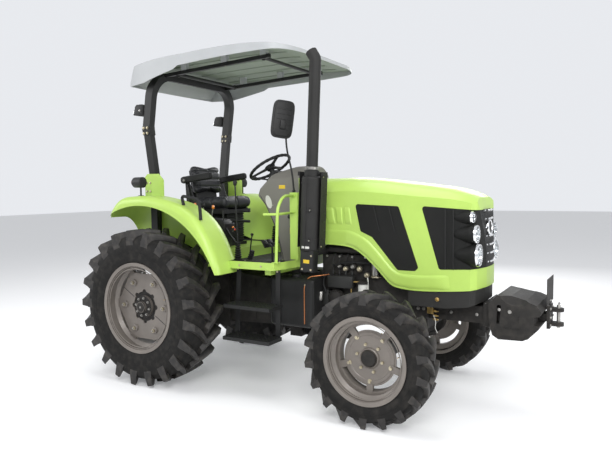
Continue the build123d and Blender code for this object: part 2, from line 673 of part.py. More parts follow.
def steps():
    """Two-tread ladder under each side of the floor."""
    y_in = 560.0
    y_out = 770.0
    left = None
    for z, reach in ((777, 0), (505, 18)):
        tread = box(815, 1285, y_in + 10 + reach, y_out + reach, z - 30, z)
        tread = tread - box(835, 1265, y_in + 30 + reach, y_out - 20 + reach, z - 40, z - 5)
        left = tread if left is None else left + tread
    for x, lean in ((860, -36), (1262, -12)):
        foot_x = x + lean
        rail = slab(side_face([(foot_x - 22, 470), (foot_x + 22, 470), (x + 22, FLOOR_Z - 6 - SEAT_GAP),
                               (x - 22, FLOOR_Z - 6 - SEAT_GAP)]), 590, 598)
        left = left + rail
    return Compound(children=[left, mirrored(left)])


# The fender's crown: x, then the height as a share of the way from its foot to its top.
FENDER_PATH = [(-505, 0.588), (-452, 0.705), (-345, 0.909), (-280, 0.966), (-150, 0.994), (30, 1.0),
               (112, 0.985), (233, 0.953), (351, 0.912), (465, 0.844), (565, 0.750), (640, 0.644),
               (700, 0.523), (755, 0.379), (800, 0.227), (840, 0.076), (850, 0.0)]

# Cutter behind the trailing edge
FENDER_TAIL = [(-398, 880), (-452, 1505), (-480, 1640), (-760, 1640), (-760, 880)]


def fender_form(inset, y0, y1):
    """Solid under the fender's crown line, drawn in by an inset."""
    rise = FENDER_TOP - FENDER_FOOT
    top = []
    for x, k in FENDER_PATH:
        reach = 900.0 if x > 0 else 700.0
        top.append((x * (1 - inset / reach), FENDER_FOOT + k * rise - inset))
    with BuildSketch() as outline:
        with BuildLine():
            Spline(*top)
            Polyline(top[-1], (top[-1][0] - 60, 900), (-560, 900), top[0])
        make_face()
    return slab(outline.sketch, y0, y1)


def crown_edge(solid, y):
    """The long upper edge of a fender form at a y station."""
    long_edges = solid.edges().filter_by(lambda e: e.length > 900 and e.center().Y > y - 1)
    return long_edges.filter_by(lambda e: e.center().Z > FENDER_FOOT + 160)


def inner_edge(solid, y):
    """The long upper edge of a fender form on its inner side."""
    long_edges = solid.edges().filter_by(lambda e: e.length > 900 and e.center().Y < y + 1)
    return long_edges.filter_by(lambda e: e.center().Z > FENDER_FOOT + 160)


def fender():
    """Left fender: crowned arch with a rolled outer edge, inner wall down to the deck."""
    roll = min(FENDER_IN_ROLL, 0.3 * (FENDER_TOP - FENDER_FOOT))
    outer = fender_form(0.0, FENDER_IN, FENDER_OUT)
    outer = fillet(crown_edge(outer, FENDER_OUT), FENDER_ROLL)
    outer = fillet(inner_edge(outer, FENDER_IN), roll)
    t = FENDER_SHEET
    inner = fender_form(t, FENDER_IN + t, FENDER_OUT - t)
    inner = fillet(crown_edge(inner, FENDER_OUT - t), FENDER_ROLL - t)
    inner = fillet(inner_edge(inner, FENDER_IN + t), roll - t)
    shell = outer - inner - box(-900, 1200, FENDER_IN + t, 1200, 500, 1030)
    shell = shell - cyl_y(FENDER_MID_X, REAR_TYRE_R, REAR_TYRE_R + FENDER_ARCH, FENDER_OUT - 54, 1200)
    shell = shell - slab(side_face(FENDER_TAIL), FENDER_IN - 20, 1200)
    shell = shell - box(-900, 1200, FENDER_IN - 20, 1200, 500, FENDER_FOOT - 3)
    shell = shell - cyl_y(0, REAR_TYRE_R, 560, FENDER_IN - 20, FENDER_IN + 30)
    shell = shell + (pedestal() - inner)
    shell = shell - hoop_leg(SEAT_GAP, FENDER_TOP - 300, FENDER_TOP + 300)
    cut = box(FLOOR_REAR - 20, 1400, FENDER_IN - 30, FLOOR_HALF + 1, LIP_BOTTOM - 1, LIP_TOP)
    return shell - cut


def fenders():
    left = fender()
    return Compound(children=[left, mirrored(left)])


def pedestal():
    """Plate beside the hoop leg with its rear flange, standing on the fender's crown."""
    x0 = LEG_X - LEG_W / 2 - 6
    x1 = LEG_X + LEG_W / 2 + 150
    y = LEG_Y + LEG_D / 2 + 60
    foot = FENDER_TOP - 100
    top = FENDER_TOP + 204
    face = [(x0, foot), (x1, foot), (x1, top - 58), (x1 - 60, top), (x0 + 30, top), (x0, top - 30)]
    plate = slab(side_face(face), y - 6, y)
    return plate + box(x0, x0 + 5, LEG_Y + LEG_D / 2 + 2, y, foot, top - 36)


def leg_y(z):
    """Sideways station of the left leg's centre line at a height."""
    share = min(max((z - KNEE_Z) / (SPLICE_Z - KNEE_Z), 0.0), 1.0)
    return LEG_Y + share * (SPLICE_Y - LEG_Y)


def hoop_leg(grow, z0, z1):
    """A length of the left leg, or a sleeve that stands proud of it all round."""
    w = LEG_W / 2 + grow
    d = LEG_D / 2 + grow
    heights = [z0] + [z for z in (KNEE_Z, SPLICE_Z) if z0 < z < z1] + [z1]
    face = [(leg_y(z) - d, z) for z in heights] + [(leg_y(z) + d, z) for z in reversed(heights)]
    prism = extrude(Plane.YZ * make_face(Polyline(*face, close=True)), amount=2 * w)
    return Pos(LEG_X - w, 0, 0) * prism


def rops_frame():
    """Roll hoop: two legs, spliced upper hoop with rounded corners, canopy rails."""
    leg = hoop_leg(0, LEG_FOOT + SEAT_GAP, SPLICE_Z + 4)
    sleeve = hoop_leg(6, SPLICE_Z - 60, SPLICE_Z + 20)
    rise = hypot(HOOP_TOP - SPLICE_Z, HOOP_LEAN)
    tip = atan2(HOOP_LEAN, HOOP_TOP - SPLICE_Z)
    plane = Plane(origin=(LEG_X, 0, SPLICE_Z), x_dir=(0, 1, 0), z_dir=(cos(tip), 0, -sin(tip)))
    corners = [(-SPLICE_Y, -10), (-SPLICE_Y, rise), (SPLICE_Y, rise), (SPLICE_Y, -10)]
    path = plane * FilletPolyline(*corners, radius=HOOP_BEND)
    start = Plane(origin=path @ 0, x_dir=(0, 1, 0), z_dir=path % 0)
    hoop = sweep(start * Rectangle(LEG_D + 8, LEG_W + 4), path=path)
    frame = hoop + leg + sleeve + mirrored(leg + sleeve)
    rail_rear = (LEG_X + HOOP_LEAN - 10, HOOP_TOP)
    rail = Pos(0, RAIL_Y, 0) * bar(rail_rear, (RAIL_FRONT_X, RAIL_FRONT_Z), RAIL, RAIL)
    cross = cyl_y(70, HOOP_TOP + 2, 17, -RAIL_Y, RAIL_Y) + cyl_y(1040, RAIL_FRONT_Z - 4, 15, -RAIL_Y, RAIL_Y)
    return frame + rail + mirrored(rail) + cross


def canopy_side(inset):
    """Side outline of the canopy: arched top, deep rear skirt with a step, thin front."""
    t = inset
    drop = 0 if inset == 0 else 300
    low = [(CANOPY_FRONT_X - t, 2874 - drop), (763, 2859 - drop), (314, 2844 - drop), (254, 2816 - drop)]
    tail = 100.0
    slope = tail / (2915 - 2738)
    low = low + [(10, 2771 - drop), (-143, 2741 - drop), (CANOPY_REAR_X + t - drop * slope, 2738 - drop)]
    top = [(CANOPY_REAR_X + tail + t, 2915 - t), (-100, 2930 - t), (450, 2942 - t), (1100, 2936 - t),
           (CANOPY_FRONT_X - t, 2905 - t)]
    with BuildSketch() as outline:
        with BuildLine():
            Spline(*top)
            Polyline(top[-1], *low, top[0])
        make_face()
    return slab(outline.sketch, -900, 900)


def canopy_plan(inset):
    """Plan of the canopy: narrower tail, bowed front edge, rounded corners."""
    h = CANOPY_HALF - inset
    rear = CANOPY_REAR_X + inset
    front = CANOPY_FRONT_X - inset
    with BuildSketch() as outline:
        with BuildLine():
            Spline((rear + 20, -h + 110), (rear + 300, -h + 34), (rear + 720, -h), (front - 260, -h),
                   (front - 110, -h + 40), (front - 22, -h + 190), (front, 0))
            Spline((front, 0), (front - 22, h - 190), (front - 110, h - 40), (front - 260, h),
                   (rear + 720, h),
                   (rear + 300, h - 34), (rear + 20, h - 110))
            Spline((rear + 20, h - 110), (rear, 0), (rear + 20, -h + 110))
        make_face()
    return outline.sketch


def canopy_form(inset):
    return canopy_side(inset) & plan(canopy_plan(inset), 2300, 3100)


def canopy():
    """Moulded shell, 4 mm, with bosses that stand on the rails."""
    shell = canopy_form(0.0) - canopy_form(CANOPY_SHEET)
    slope = (RAIL_FRONT_Z - HOOP_TOP) / (RAIL_FRONT_X - (LEG_X + HOOP_LEAN - 10))
    for x in (170.0, 640.0, 1060.0):
        rail_top = HOOP_TOP + slope * (x - (LEG_X + HOOP_LEAN - 10)) + RAIL / 2
        boss = box(x - 30, x + 30, RAIL_Y - 22, RAIL_Y + 22, rail_top - 10, 3100) & canopy_form(1.0)
        for side in (boss, mirrored(boss)):
            shell = shell + side
    rear = (LEG_X + HOOP_LEAN - 60, HOOP_TOP - 2)
    clear = bar(rear, (RAIL_FRONT_X + 40, RAIL_FRONT_Z + 2), RAIL + 2 * SEAT_GAP, RAIL + 16)
    clear = Pos(0, RAIL_Y, 0) * clear
    return shell - clear - mirrored(clear)


def seat_frame():
    """Deck plate, folded suspension box, seat pan and two armrests."""
    base = box(60, 400, -150, 150, DECK_Z + SEAT_GAP, DECK_Z + 30)
    bellows = box(90, 370, -130, 130, DECK_Z + 30, SEAT_PAN_Z - 38)
    pan = box(-20, 405, -215, 215, SEAT_PAN_Z - 38, SEAT_PAN_Z)
    post = side_face([(-10, 1530), (120, 1530), (60, 1700), (10, 1852), (-30, 1852), (-20, 1690)])
    arm_post = slab(post, 252, 268)
    arm = Pos(0, 272, 0) * bar((-50, 1845), (300, 1885), 46, 60)
    link = box(10, 170, 200, 262, SEAT_PAN_Z - 36, SEAT_PAN_Z - 8)
    half = arm_post + arm + link
    back = slab(side_face([(-20, 1520), (42, 1520), (0, 1902), (-35, 1902)]), -150, 150)
    return base + bellows + pan + half + mirrored(half) + back


def cushion_block(x, z, length, width, height, tilt, corner):
    block = Box(length, width, height)
    block = fillet(block.edges(), corner)
    return Pos(x, 0, z) * Rot(0, tilt, 0) * block


def seat_cushion():
    block = cushion_block(244, 1618, 388, 470, 122, -3, 34)
    return block - box(-100, 900, -400, 400, 1300, SEAT_PAN_Z + SEAT_GAP)


def seat_back():
    """Backrest block leaning back, clear of the pan and of the cushion."""
    block = cushion_block(20, 1800, 106, 440, 404, -9, 46)
    back = slab(side_face([(-24, 1520), (42.3, 1520), (0.3, 1902.3), (-40, 1902.3)]), -151, 151)
    return block - back - box(-200, 900, -400, 400, 1300, 1700)


def controls():
    """Gear levers with bellows, hand levers and the three pedals."""
    lever_set = []
    for x, y, z, top, lean in ((725, -430, FLOOR_Z, 1812, -20), (640, 300, DECK_Z, 1640, 60)):
        boot = Pos(x, y, z + SEAT_GAP) * Cone(42, 20, 170, align=(Align.CENTER, Align.CENTER, Align.MIN))
        rod = tube([(x, y, z + 100), (x + lean / 2, y, (z + top) / 2), (x + lean, y, top)], 7, 60)
        knob = Pos(x + lean, y, top) * Sphere(20)
        lever_set.append(boot + rod + knob)
    for x, y in ((975, -345), (975, -262), (975, 275)):
        arm = tube([(1040, y, FLOOR_Z + SEAT_GAP), (1040, y, 1250), (x, y, 1262)], 9, 40)
        pad = Pos(x - 6, y, 1262) * Rot(0, -32, 0) * Box(14, 74, 84)
        lever_set.append(arm + pad)
    return Compound(children=lever_set)


def handrails():
    """Front grab rails with their cross handles and the bars on the fenders."""
    y = PANEL_OUT + SEAT_GAP
    foot = LIP_TOP + SEAT_GAP
    rail = tube([(1300, y, 1690), (1302, 560, 1690), (1305, 655, 1600), (1292, 668, foot)], 13, 60)
    cross = tube([(1300, y, 1545), (1300, 664, 1540), (1190, 684, 1540)], 11, 30)
    half = rail + cross - box(1200, 1400, 600, 740, 1000, foot)
    z = FENDER_TOP
    grab = tube([(430, 800, z - 110), (400, 800, z), (600, 800, z - 35), (628, 815, z - 240)], 14, 40)
    grab = grab - fender_form(-SEAT_GAP, FENDER_IN, FENDER_OUT)
    return Compound(children=[half, mirrored(half), grab, mirrored(grab)])


def hoop_back(z):
    """Where a bracket meets the leaning hoop's rear face at a height."""
    tip = atan2(HOOP_LEAN, HOOP_TOP - SPLICE_Z)
    middle = LEG_X + HOOP_LEAN * (z - SPLICE_Z) / (HOOP_TOP - SPLICE_Z)
    return middle - ((LEG_W + 4) / 2 + SEAT_GAP) / cos(tip)


def rear_lamps():
    """Work lamps on the hoop facing back and round tail lamps on the fenders."""
    shape = side_face([(-330, 2462), (hoop_back(2440), 2440), (hoop_back(2560), 2560), (-300, 2548)])
    work = slab(shape, SPLICE_Y - 45, SPLICE_Y + 45)
    z = FENDER_TOP
    stalk = cyl_z(-107, 780, 8, z - 20, z + 90)
    tail = Pos(-130, 780, z + 123) * Rot(0, 90, 0) * (Cylinder(50, 110) + Pos(0, 0, -65) * Cone(34, 50, 20))
    base = (stalk + tail) - fender_form(-SEAT_GAP, FENDER_IN, FENDER_OUT)
    return Compound(children=[work, mirrored(work), base, mirrored(base)])


def mirror_arm():
    """Mirror on a thin bent stalk from the right upright panel."""
    y = 13 - PANEL_OUT
    stalk = tube([(1300, y, 1717.2), (1290, y - 15, 1900), (1262, -440, 2090), (1268, -455, 2330)], 8, 80)
    head = Box(46, 215, 330)
    head = fillet(head.edges(), 20)
    head = Pos(1262, -487, 2330) * Rot(0, 0, -42) * Rot(7, 0, 0) * head
    return stalk + head


def fuel_tank():
    """Tank on the right between steps and front wheel, battery box on the left."""
    tank = fillet(box(1060, 1500, -430, -215, 560, 985).edges(), 30)
    battery = fillet(box(1060, 1440, 215, 420, 600, 960).edges(), 10)
    for x in (1110, 1380):
        tank = tank + box(x, x + 40, -218, -190.3, 820, 880)
        battery = battery + box(x - 20, x + 20, 190.3, 218, 820, 880)
    return tank + battery


def lift_arms():
    """Rockshaft with its two arms; the arms point back and a little down when parked."""
    tip = lift_tip()
    shaft = cyl_y(ROCKSHAFT_X, ROCKSHAFT_Z, 32, -LIFT_ARM_Y - 15, LIFT_ARM_Y + 15)
    arm = None
    for y in (-LIFT_ARM_Y, LIFT_ARM_Y):
        web = Pos(0, y, 0) * bar((ROCKSHAFT_X, ROCKSHAFT_Z), tip, 60, 26)
        end = cyl_y(ROCKSHAFT_X, ROCKSHAFT_Z, 48, y - 20, y + 20)
        eye = cyl_y(tip[0], tip[1], 26, y - 13, y + 13)
        out = 1 if y > 0 else -1
        pin = cyl_y(tip[0], tip[1], 11, y, y + out * (LIFT_ROD_Y - LIFT_ARM_Y + 18))
        piece = web + end + eye + pin
        arm = piece if arm is None else arm + piece
    return shaft + arm


def lift_tip():
    angle = radians(LIFT_ARM_ANGLE)
    return (ROCKSHAFT_X - LIFT_ARM * cos(angle), ROCKSHAFT_Z + LIFT_ARM * sin(angle))


def link_point(distance):
    return (LINK_X - distance * cos(radians(LINK_ANGLE)), LINK_Z + distance * sin(radians(LINK_ANGLE)))


def lower_links():
    """Two lower links, splayed toward the ball ends, with a bore in each ball."""
    x1, z1 = link_point(LINK_LENGTH)
    xp, zp = link_point(LINK_PICKUP)
    out = []
    for side in (1, -1):
        front = LINK_FRONT_Y
        ball = LINK_BALL_Y
        spread = degrees(atan2(ball - front, LINK_LENGTH))
        flat = Box(LINK_LENGTH, 18, 70)
        web = Pos(LINK_LENGTH / 2, 0, 0) * flat
        link = Rot(0, LINK_ANGLE, 0) * Rot(0, 0, 180 - spread) * web
        link = Pos(LINK_X, front, LINK_Z) * link
        eye = cyl_y(LINK_X, LINK_Z, 36, front - 16, front + 16)
        end = cyl_y(x1, z1, LINK_END_R, ball - 22, ball + 22)
        yp = front + (ball - front) * LINK_PICKUP / LINK_LENGTH
        pin = cyl_y(xp, zp, ROD_PIN_R, LIFT_ROD_Y - 16, yp)
        one = link + eye + end + pin
        one = one - cyl_y(LINK_X, LINK_Z, LINK_PIN_R, front - 40, front + 60)
        one = one - cyl_y(x1, z1, LINK_BORE_R, ball - 60, ball + 60)
        out.append(one if side > 0 else mirrored(one))
    return Compound(children=out)


def lift_rods():
    """Two upright rods from the lift arms down to the lower links."""
    top = lift_tip()
    low = link_point(LINK_PICKUP)
    y = LIFT_ROD_Y
    one = Pos(0, y, 0) * bar(top, low, 34, 18)
    for x, z, hole in ((top[0], top[1], 11 + FIT), (low[0], low[1], ROD_EYE_R)):
        one = one + cyl_y(x, z, hole + 15, y - 12, y + 12)
    for x, z, hole in ((top[0], top[1], 11 + FIT), (low[0], low[1], ROD_EYE_R)):
        one = one - cyl_y(x, z, hole, y - 40, y + 40)
    return Compound(children=[one, mirrored(one)])


def top_link():
    """Upper link, parked level behind its bracket, with a bore at its free eye."""
    x0 = CASE_REAR_X - 40
    x1 = x0 - TOP_LINK_LENGTH
    z = TOP_LINK_Z
    link = cyl_x(0, z, 19, x1 + 20, x0 - 20)
    link = link + cyl_x(0, z, 27, x0 - 430, x0 - 170)
    for x, r in ((x0, TOP_BORE_R), (x1, TOP_BORE_R)):
        link = link + cyl_y(x, z, 30, -24, 24)
        link = link - cyl_y(x, z, r, -40, 40)
    return link


def drawbar():
    """Flat swinging-type drawbar, pinned straight, with its hitch hole."""
    tongue = box(-620, -200, -42, 42, 372, 404)
    end = cyl_z(-620, 0, 42, 372, 404)
    frame = box(-290, -200, -120, 120, 404, 560) + box(-260, -205, -120, 120, 350, 372)
    frame = frame + box(-260, -205, -120, -60, 350, 410) + box(-260, -205, 60, 120, 350, 410)
    return (tongue + end + frame) - cyl_z(-620, 0, DRAWBAR_HOLE_R, 300, 500)


def pto_shaft():
    """Output stub at the rear case."""
    return cyl_x(0, PTO_Z, PTO_R, CASE_REAR_X - 100, CASE_REAR_X - SEAT_GAP)


WEIGHT_OUTLINE = [(2966, 940), (3060, 936), (3170, 914), (3248, 884), (3282, 836), (3268, 806), (3228, 800),
                  (3228, 738), (3270, 736), (3262, 712), (3190, 636), (3150, 618), (2980, 612), (2935, 640),
                  (2910, 735), (2906, 868)]


def tow_clevis():
    """Two lugs on a cast root with the tow pin's hole, and the upright plate above them."""
    root = box(3220, 3300, -62, 62, 742, 796) + box(3290, 3312, -80, 80, 690, 860)
    lug_high = box(3305, TOW_PIN_X, -38, 38, 812, 838) + cyl_z(TOW_PIN_X, 0, 38, 812, 838)
    lug_low = box(3305, TOW_PIN_X, -38, 38, 704, 730) + cyl_z(TOW_PIN_X, 0, 38, 704, 730)
    lugs = (lug_high + lug_low) - cyl_z(TOW_PIN_X, 0, TOW_PIN_R, 650, 900)
    plate = box(3300, 3303, -150, 150, 876, 1066) + box(3296, 3303, -30, 30, 850, 880)
    return root + lugs + plate


def front_weight():
    """Cast block hung on the carrier, with its hook slot, hand recess and pin notch."""
    body = slab(side_face(WEIGHT_OUTLINE, 6), -WEIGHT_HALF, WEIGHT_HALF) + tow_clevis()
    hook = side_face([(2968, 870), (3000, 870), (2986, 728), (2966, 728)], 8)
    slot = slab(hook, WEIGHT_HALF - 60, WEIGHT_HALF + 5)
    dish = Pos(3105, WEIGHT_HALF + 100, 1010) * Sphere(172)
    return body - slot - mirrored(slot) - dish - mirrored(dish)


def main():
    rear_tyre = tyre(REAR_TYRE_R, REAR_TYRE_W, REAR_RIM_R, REAR_RIM_W)
    front_tyre = tyre(FRONT_TYRE_R, FRONT_TYRE_W, FRONT_RIM_R, FRONT_RIM_W)
    rear_rim = rear_wheel()
    front_rim = front_wheel()
    left_knuckle = knuckle()
    for side, name in ((1, "left"), (-1, "right")):
        write("rear_tyre_" + name, place_wheel(rear_tyre, 0, REAR_TRACK, REAR_TYRE_R, side))
        write("rear_wheel_" + name, place_wheel(rear_rim, 0, REAR_TRACK, REAR_TYRE_R, side))
        write("front_tyre_" + name, place_wheel(front_tyre, WHEELBASE, FRONT_TRACK, FRONT_TYRE_R, side))
        write("front_wheel_" + name, place_wheel(front_rim, WHEELBASE, FRONT_TRACK, FRONT_TYRE_R, side))
        write("front_knuckle_" + name, left_knuckle if side > 0 else mirrored(left_knuckle))
    for name, make in (
        ("rear_axle_housing", rear_axle_housing),
        ("transmission_housing", transmission_housing),
        ("engine_block", engine_block),
        ("front_support", front_support),
        ("front_axle", front_axle),
        ("tie_rod", tie_rod),
        ("hood", hood),
        ("grille", grille),
        ("headlamps", headlamps),
        ("nose_skirt", nose_skirt),
        ("exhaust", exhaust),
        ("firewall", firewall),
        ("dash_cowl", dash_cowl),
        ("steering_column", steering_column),
        ("steering_wheel", steering_wheel),
        ("platform", platform),
        ("steps", steps),
        ("fenders", fenders),
        ("rops_frame", rops_frame),
        ("canopy", canopy),
        ("seat_frame", seat_frame),
        ("seat_cushion", seat_cushion),
        ("seat_back", seat_back),
        ("controls", controls),
        ("handrails", handrails),
        ("rear_lamps", rear_lamps),
        ("mirror", mirror_arm),
        ("fuel_tank", fuel_tank),
        ("lift_arms", lift_arms),
        ("lift_rods", lift_rods),
        ("lower_links", lower_links),
        ("top_link", top_link),
        ("drawbar", drawbar),
        ("pto_shaft", pto_shaft),
        ("front_weight", front_weight),
    ):
        write(name, make())


if __name__ == "__main__":
    main()
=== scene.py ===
"""Studio scene of an open farm tractor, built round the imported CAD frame.

Each class below is one sub-assembly. It takes its sizes from a small dataclass, builds its own
meshes in metres, and rides on a body of the frame. Points are given from the rear axle line
(x ahead, y to the tractor's left, z up from the ground) and shifted to the frame's own origin
when a piece is written.
"""

import json
import logging
import math
from dataclasses import dataclass
from enum import Enum
from typing import Any, Callable, Dict, Iterable, List, Optional, Sequence, Tuple

import bmesh
import bpy
from mathutils import Matrix, Vector
from mathutils.bvhtree import BVHTree

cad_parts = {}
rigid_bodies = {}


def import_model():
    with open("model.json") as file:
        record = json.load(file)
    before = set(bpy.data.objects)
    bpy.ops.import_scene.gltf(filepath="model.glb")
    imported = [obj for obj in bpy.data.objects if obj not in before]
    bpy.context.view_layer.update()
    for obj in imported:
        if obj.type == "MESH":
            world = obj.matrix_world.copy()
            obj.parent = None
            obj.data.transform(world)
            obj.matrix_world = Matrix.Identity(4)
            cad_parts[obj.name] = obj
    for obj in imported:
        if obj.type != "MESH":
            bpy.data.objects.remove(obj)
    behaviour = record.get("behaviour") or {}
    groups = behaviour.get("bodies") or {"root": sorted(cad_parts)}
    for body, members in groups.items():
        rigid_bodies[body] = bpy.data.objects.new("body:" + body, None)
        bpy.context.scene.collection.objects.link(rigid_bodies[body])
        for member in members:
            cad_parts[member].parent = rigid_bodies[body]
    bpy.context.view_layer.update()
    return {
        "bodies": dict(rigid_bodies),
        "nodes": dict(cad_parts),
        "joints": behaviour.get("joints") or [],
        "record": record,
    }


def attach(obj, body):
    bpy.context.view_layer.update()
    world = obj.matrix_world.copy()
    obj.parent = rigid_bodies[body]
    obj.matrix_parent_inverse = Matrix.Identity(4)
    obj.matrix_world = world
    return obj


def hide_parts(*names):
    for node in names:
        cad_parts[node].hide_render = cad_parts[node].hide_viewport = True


LOG = logging.getLogger("tractor")
logging.basicConfig(level=logging.INFO, format="%(name)s: %(message)s")

SHIFT_X = -1.2
CREASE = 38.0
# Pale dust colour; on the tyre lugs it also paints highlight.
DUST_AND_HIGHLIGHT_COLOUR = (0.2, 0.175, 0.15, 1)
COAT_ROUGHNESS = 0.08
GLASS_IOR = 1.45
Point = Tuple[float, float, float]
Flat = Tuple[float, float]
Colour = Tuple[float, float, float]
ALONG_X: Point = (1, 0, 0)
ALONG_Y: Point = (0, 1, 0)
ALONG_Z: Point = (0, 0, 1)
HERE: Point = (0, 0, 0)


class Side(Enum):
    """The two hands of the tractor; the value is the sign of y."""

    LEFT = 1
    RIGHT = -1

    @property
    def word(self) -> str:
        """The hand's name as it stands in node and body names."""
        return self.name.lower()


class Surface(Enum):
    """The kinds of surface that a finish can have."""

    PAINT = "paint"
    CAST = "cast"
    RUBBER = "rubber"
    PLASTIC = "plastic"
    METAL = "metal"
    VINYL = "vinyl"
    SCREEN = "screen"
    CLEAR = "clear"
    TREAD_PLATE = "tread_plate"
    MIRROR = "mirror"


@dataclass(frozen=True)
class Finish:
    """One material: its colour, its surface and how worn it is.

    Args:
        name: The material's name.
        colour: Linear base colour.
        surface: What sort of surface it is, which picks the bump and the spread of tone.
        rough: Mean roughness.
        metal: Metallic share.
        coat: Clear coat weight.
        gloss: Specular level.
        grain: Size of the bump's features, as cells per metre.
        bump: Strength of the bump.
        mottle: How far the colour varies over the surface.
        dust_and_highlight: Share of pale dust mixed in by a fine noise; on the tyre lugs it is raised as
            painted highlight where their faces catch light.
    """

    name: str
    colour: Colour
    surface: Surface
    rough: float = 0.5
    metal: float = 0.0
    coat: float = 0.0
    gloss: float = 0.5
    grain: float = 400.0
    bump: float = 0.1
    mottle: float = 0.08
    dust_and_highlight: float = 0.0


GREEN = Finish("green_paint", (0.445, 0.65, 0.122), Surface.PAINT, 0.4, coat=0.15, grain=90, bump=0.02,
    mottle=0.05)
FRAME = Finish("frame_paint", (0.014, 0.0142, 0.014), Surface.PAINT, 0.44, gloss=0.35, grain=160, bump=0.05,
    mottle=0.2)
CASTING = Finish("casting_paint", (0.023, 0.0215, 0.02), Surface.CAST, 0.62, gloss=0.25, grain=260, bump=0.3,
    mottle=0.35, dust_and_highlight=0.05)
RIM = Finish("rim_paint", (0.205, 0.182, 0.162), Surface.PAINT, 0.42, metal=0.25, coat=0.1, grain=120,
    bump=0.05, mottle=0.16, dust_and_highlight=0.05)
STEEL = Finish("steel", (0.36, 0.35, 0.33), Surface.METAL, 0.38, metal=0.9, grain=300, bump=0.08, mottle=0.2)
ZINC = Finish("zinc", (0.5, 0.45, 0.33), Surface.METAL, 0.4, metal=0.85, grain=260, bump=0.06, mottle=0.25)
CHROME = Finish("chrome", (0.86, 0.87, 0.88), Surface.METAL, 0.1, metal=1.0, grain=80, bump=0.01, mottle=0.03)
SKIRT = Finish("skirt_paint", (0.026, 0.0255, 0.024), Surface.PAINT, 0.52, gloss=0.3, grain=140, bump=0.05,
    mottle=0.15)
TYRE = Finish("tyre", (0.0115, 0.011, 0.0105), Surface.RUBBER, 0.74, gloss=0.22, grain=220, bump=0.25,
    mottle=0.4, dust_and_highlight=0.045)
# The lugs are the casing's own rubber, painted lighter and given more pale mix as painted highlight where
# their faces catch light, on top of some dust.
LUG_PAINTED_HIGHLIGHT = Finish("tyre_lug", (0.0195, 0.018, 0.017), Surface.RUBBER, 0.52, gloss=0.42, grain=220, bump=0.22,
    mottle=0.5, dust_and_highlight=0.11)
BLACK = Finish("black_plastic", (0.012, 0.012, 0.012), Surface.PLASTIC, 0.5, gloss=0.35, grain=900, bump=0.12,
    mottle=0.1)
SOFT_BLACK = Finish("soft_black", (0.014, 0.014, 0.0145), Surface.RUBBER, 0.62, gloss=0.3, grain=500,
    bump=0.12, mottle=0.12)
GRILLE = Finish("grille_plastic", (0.0085, 0.0088, 0.008), Surface.SCREEN, 0.48, gloss=0.22, grain=260,
    bump=0.9, mottle=0.2)
COWL = Finish("cowl_plastic", (0.185, 0.177, 0.158), Surface.PLASTIC, 0.48, gloss=0.4, grain=1100, bump=0.14,
    mottle=0.06)
CANOPY = Finish("canopy_plastic", (0.44, 0.455, 0.465), Surface.PLASTIC, 0.46, grain=700, bump=0.05,
    mottle=0.04)
# Painted shade with a painted green reflection: the canopy's underside is the same plastic as the canopy,
# coloured darker and greener.
CANOPY_UNDERSIDE_SHADE = Finish("canopy_liner", (0.27, 0.31, 0.262), Surface.PLASTIC, 0.6, grain=500, bump=0.12, mottle=0.08)
GLASS = Finish("lamp_glass", (0.92, 0.94, 0.95), Surface.CLEAR, 0.04)
LENS = Finish("lens", (0.85, 0.87, 0.88), Surface.PLASTIC, 0.12, coat=1.0, grain=160, bump=0.5, mottle=0.02)
RED = Finish("red_lens", (0.5, 0.02, 0.015), Surface.PLASTIC, 0.16, coat=1.0, grain=260, bump=0.5,
    mottle=0.05)
AMBER = Finish("amber_lens", (0.75, 0.22, 0.02), Surface.PLASTIC, 0.16, coat=1.0, grain=260, bump=0.5,
    mottle=0.05)
VINYL = Finish("seat_vinyl", (0.0185, 0.019, 0.0215), Surface.VINYL, 0.44, gloss=0.4, grain=650, bump=0.22,
    mottle=0.12)
EXHAUST = Finish("exhaust_paint", (0.0185, 0.018, 0.0172), Surface.CAST, 0.56, gloss=0.3, grain=300,
    bump=0.12, mottle=0.25)
FLOOR_MAT = Finish("floor_mat", (0.018, 0.0185, 0.017), Surface.TREAD_PLATE, 0.66, gloss=0.3, grain=42,
    bump=0.6, mottle=0.2, dust_and_highlight=0.12)
SILVERED = Finish("mirror_glass", (0.9, 0.92, 0.94), Surface.MIRROR, 0.02, metal=1.0)
WHITE = Finish("white_plastic", (0.66, 0.66, 0.62), Surface.PLASTIC, 0.4, grain=500, bump=0.05, mottle=0.05)
BRASS = Finish("brass", (0.55, 0.38, 0.14), Surface.METAL, 0.35, metal=0.9, grain=200, bump=0.05, mottle=0.2)
COPPER = Finish("copper", (0.62, 0.24, 0.1), Surface.METAL, 0.34, metal=0.9, grain=200, bump=0.05, mottle=0.2)
LABEL = Finish("blank_label", (0.62, 0.62, 0.58), Surface.PLASTIC, 0.38, grain=600, bump=0.03, mottle=0.05)
YELLOW = Finish("yellow_label", (0.72, 0.5, 0.03), Surface.PLASTIC, 0.38, grain=600, bump=0.03, mottle=0.05)
ENGINE = Finish("engine_paint", (0.024, 0.0245, 0.023), Surface.CAST, 0.5, gloss=0.35, grain=230, bump=0.25,
    mottle=0.3)


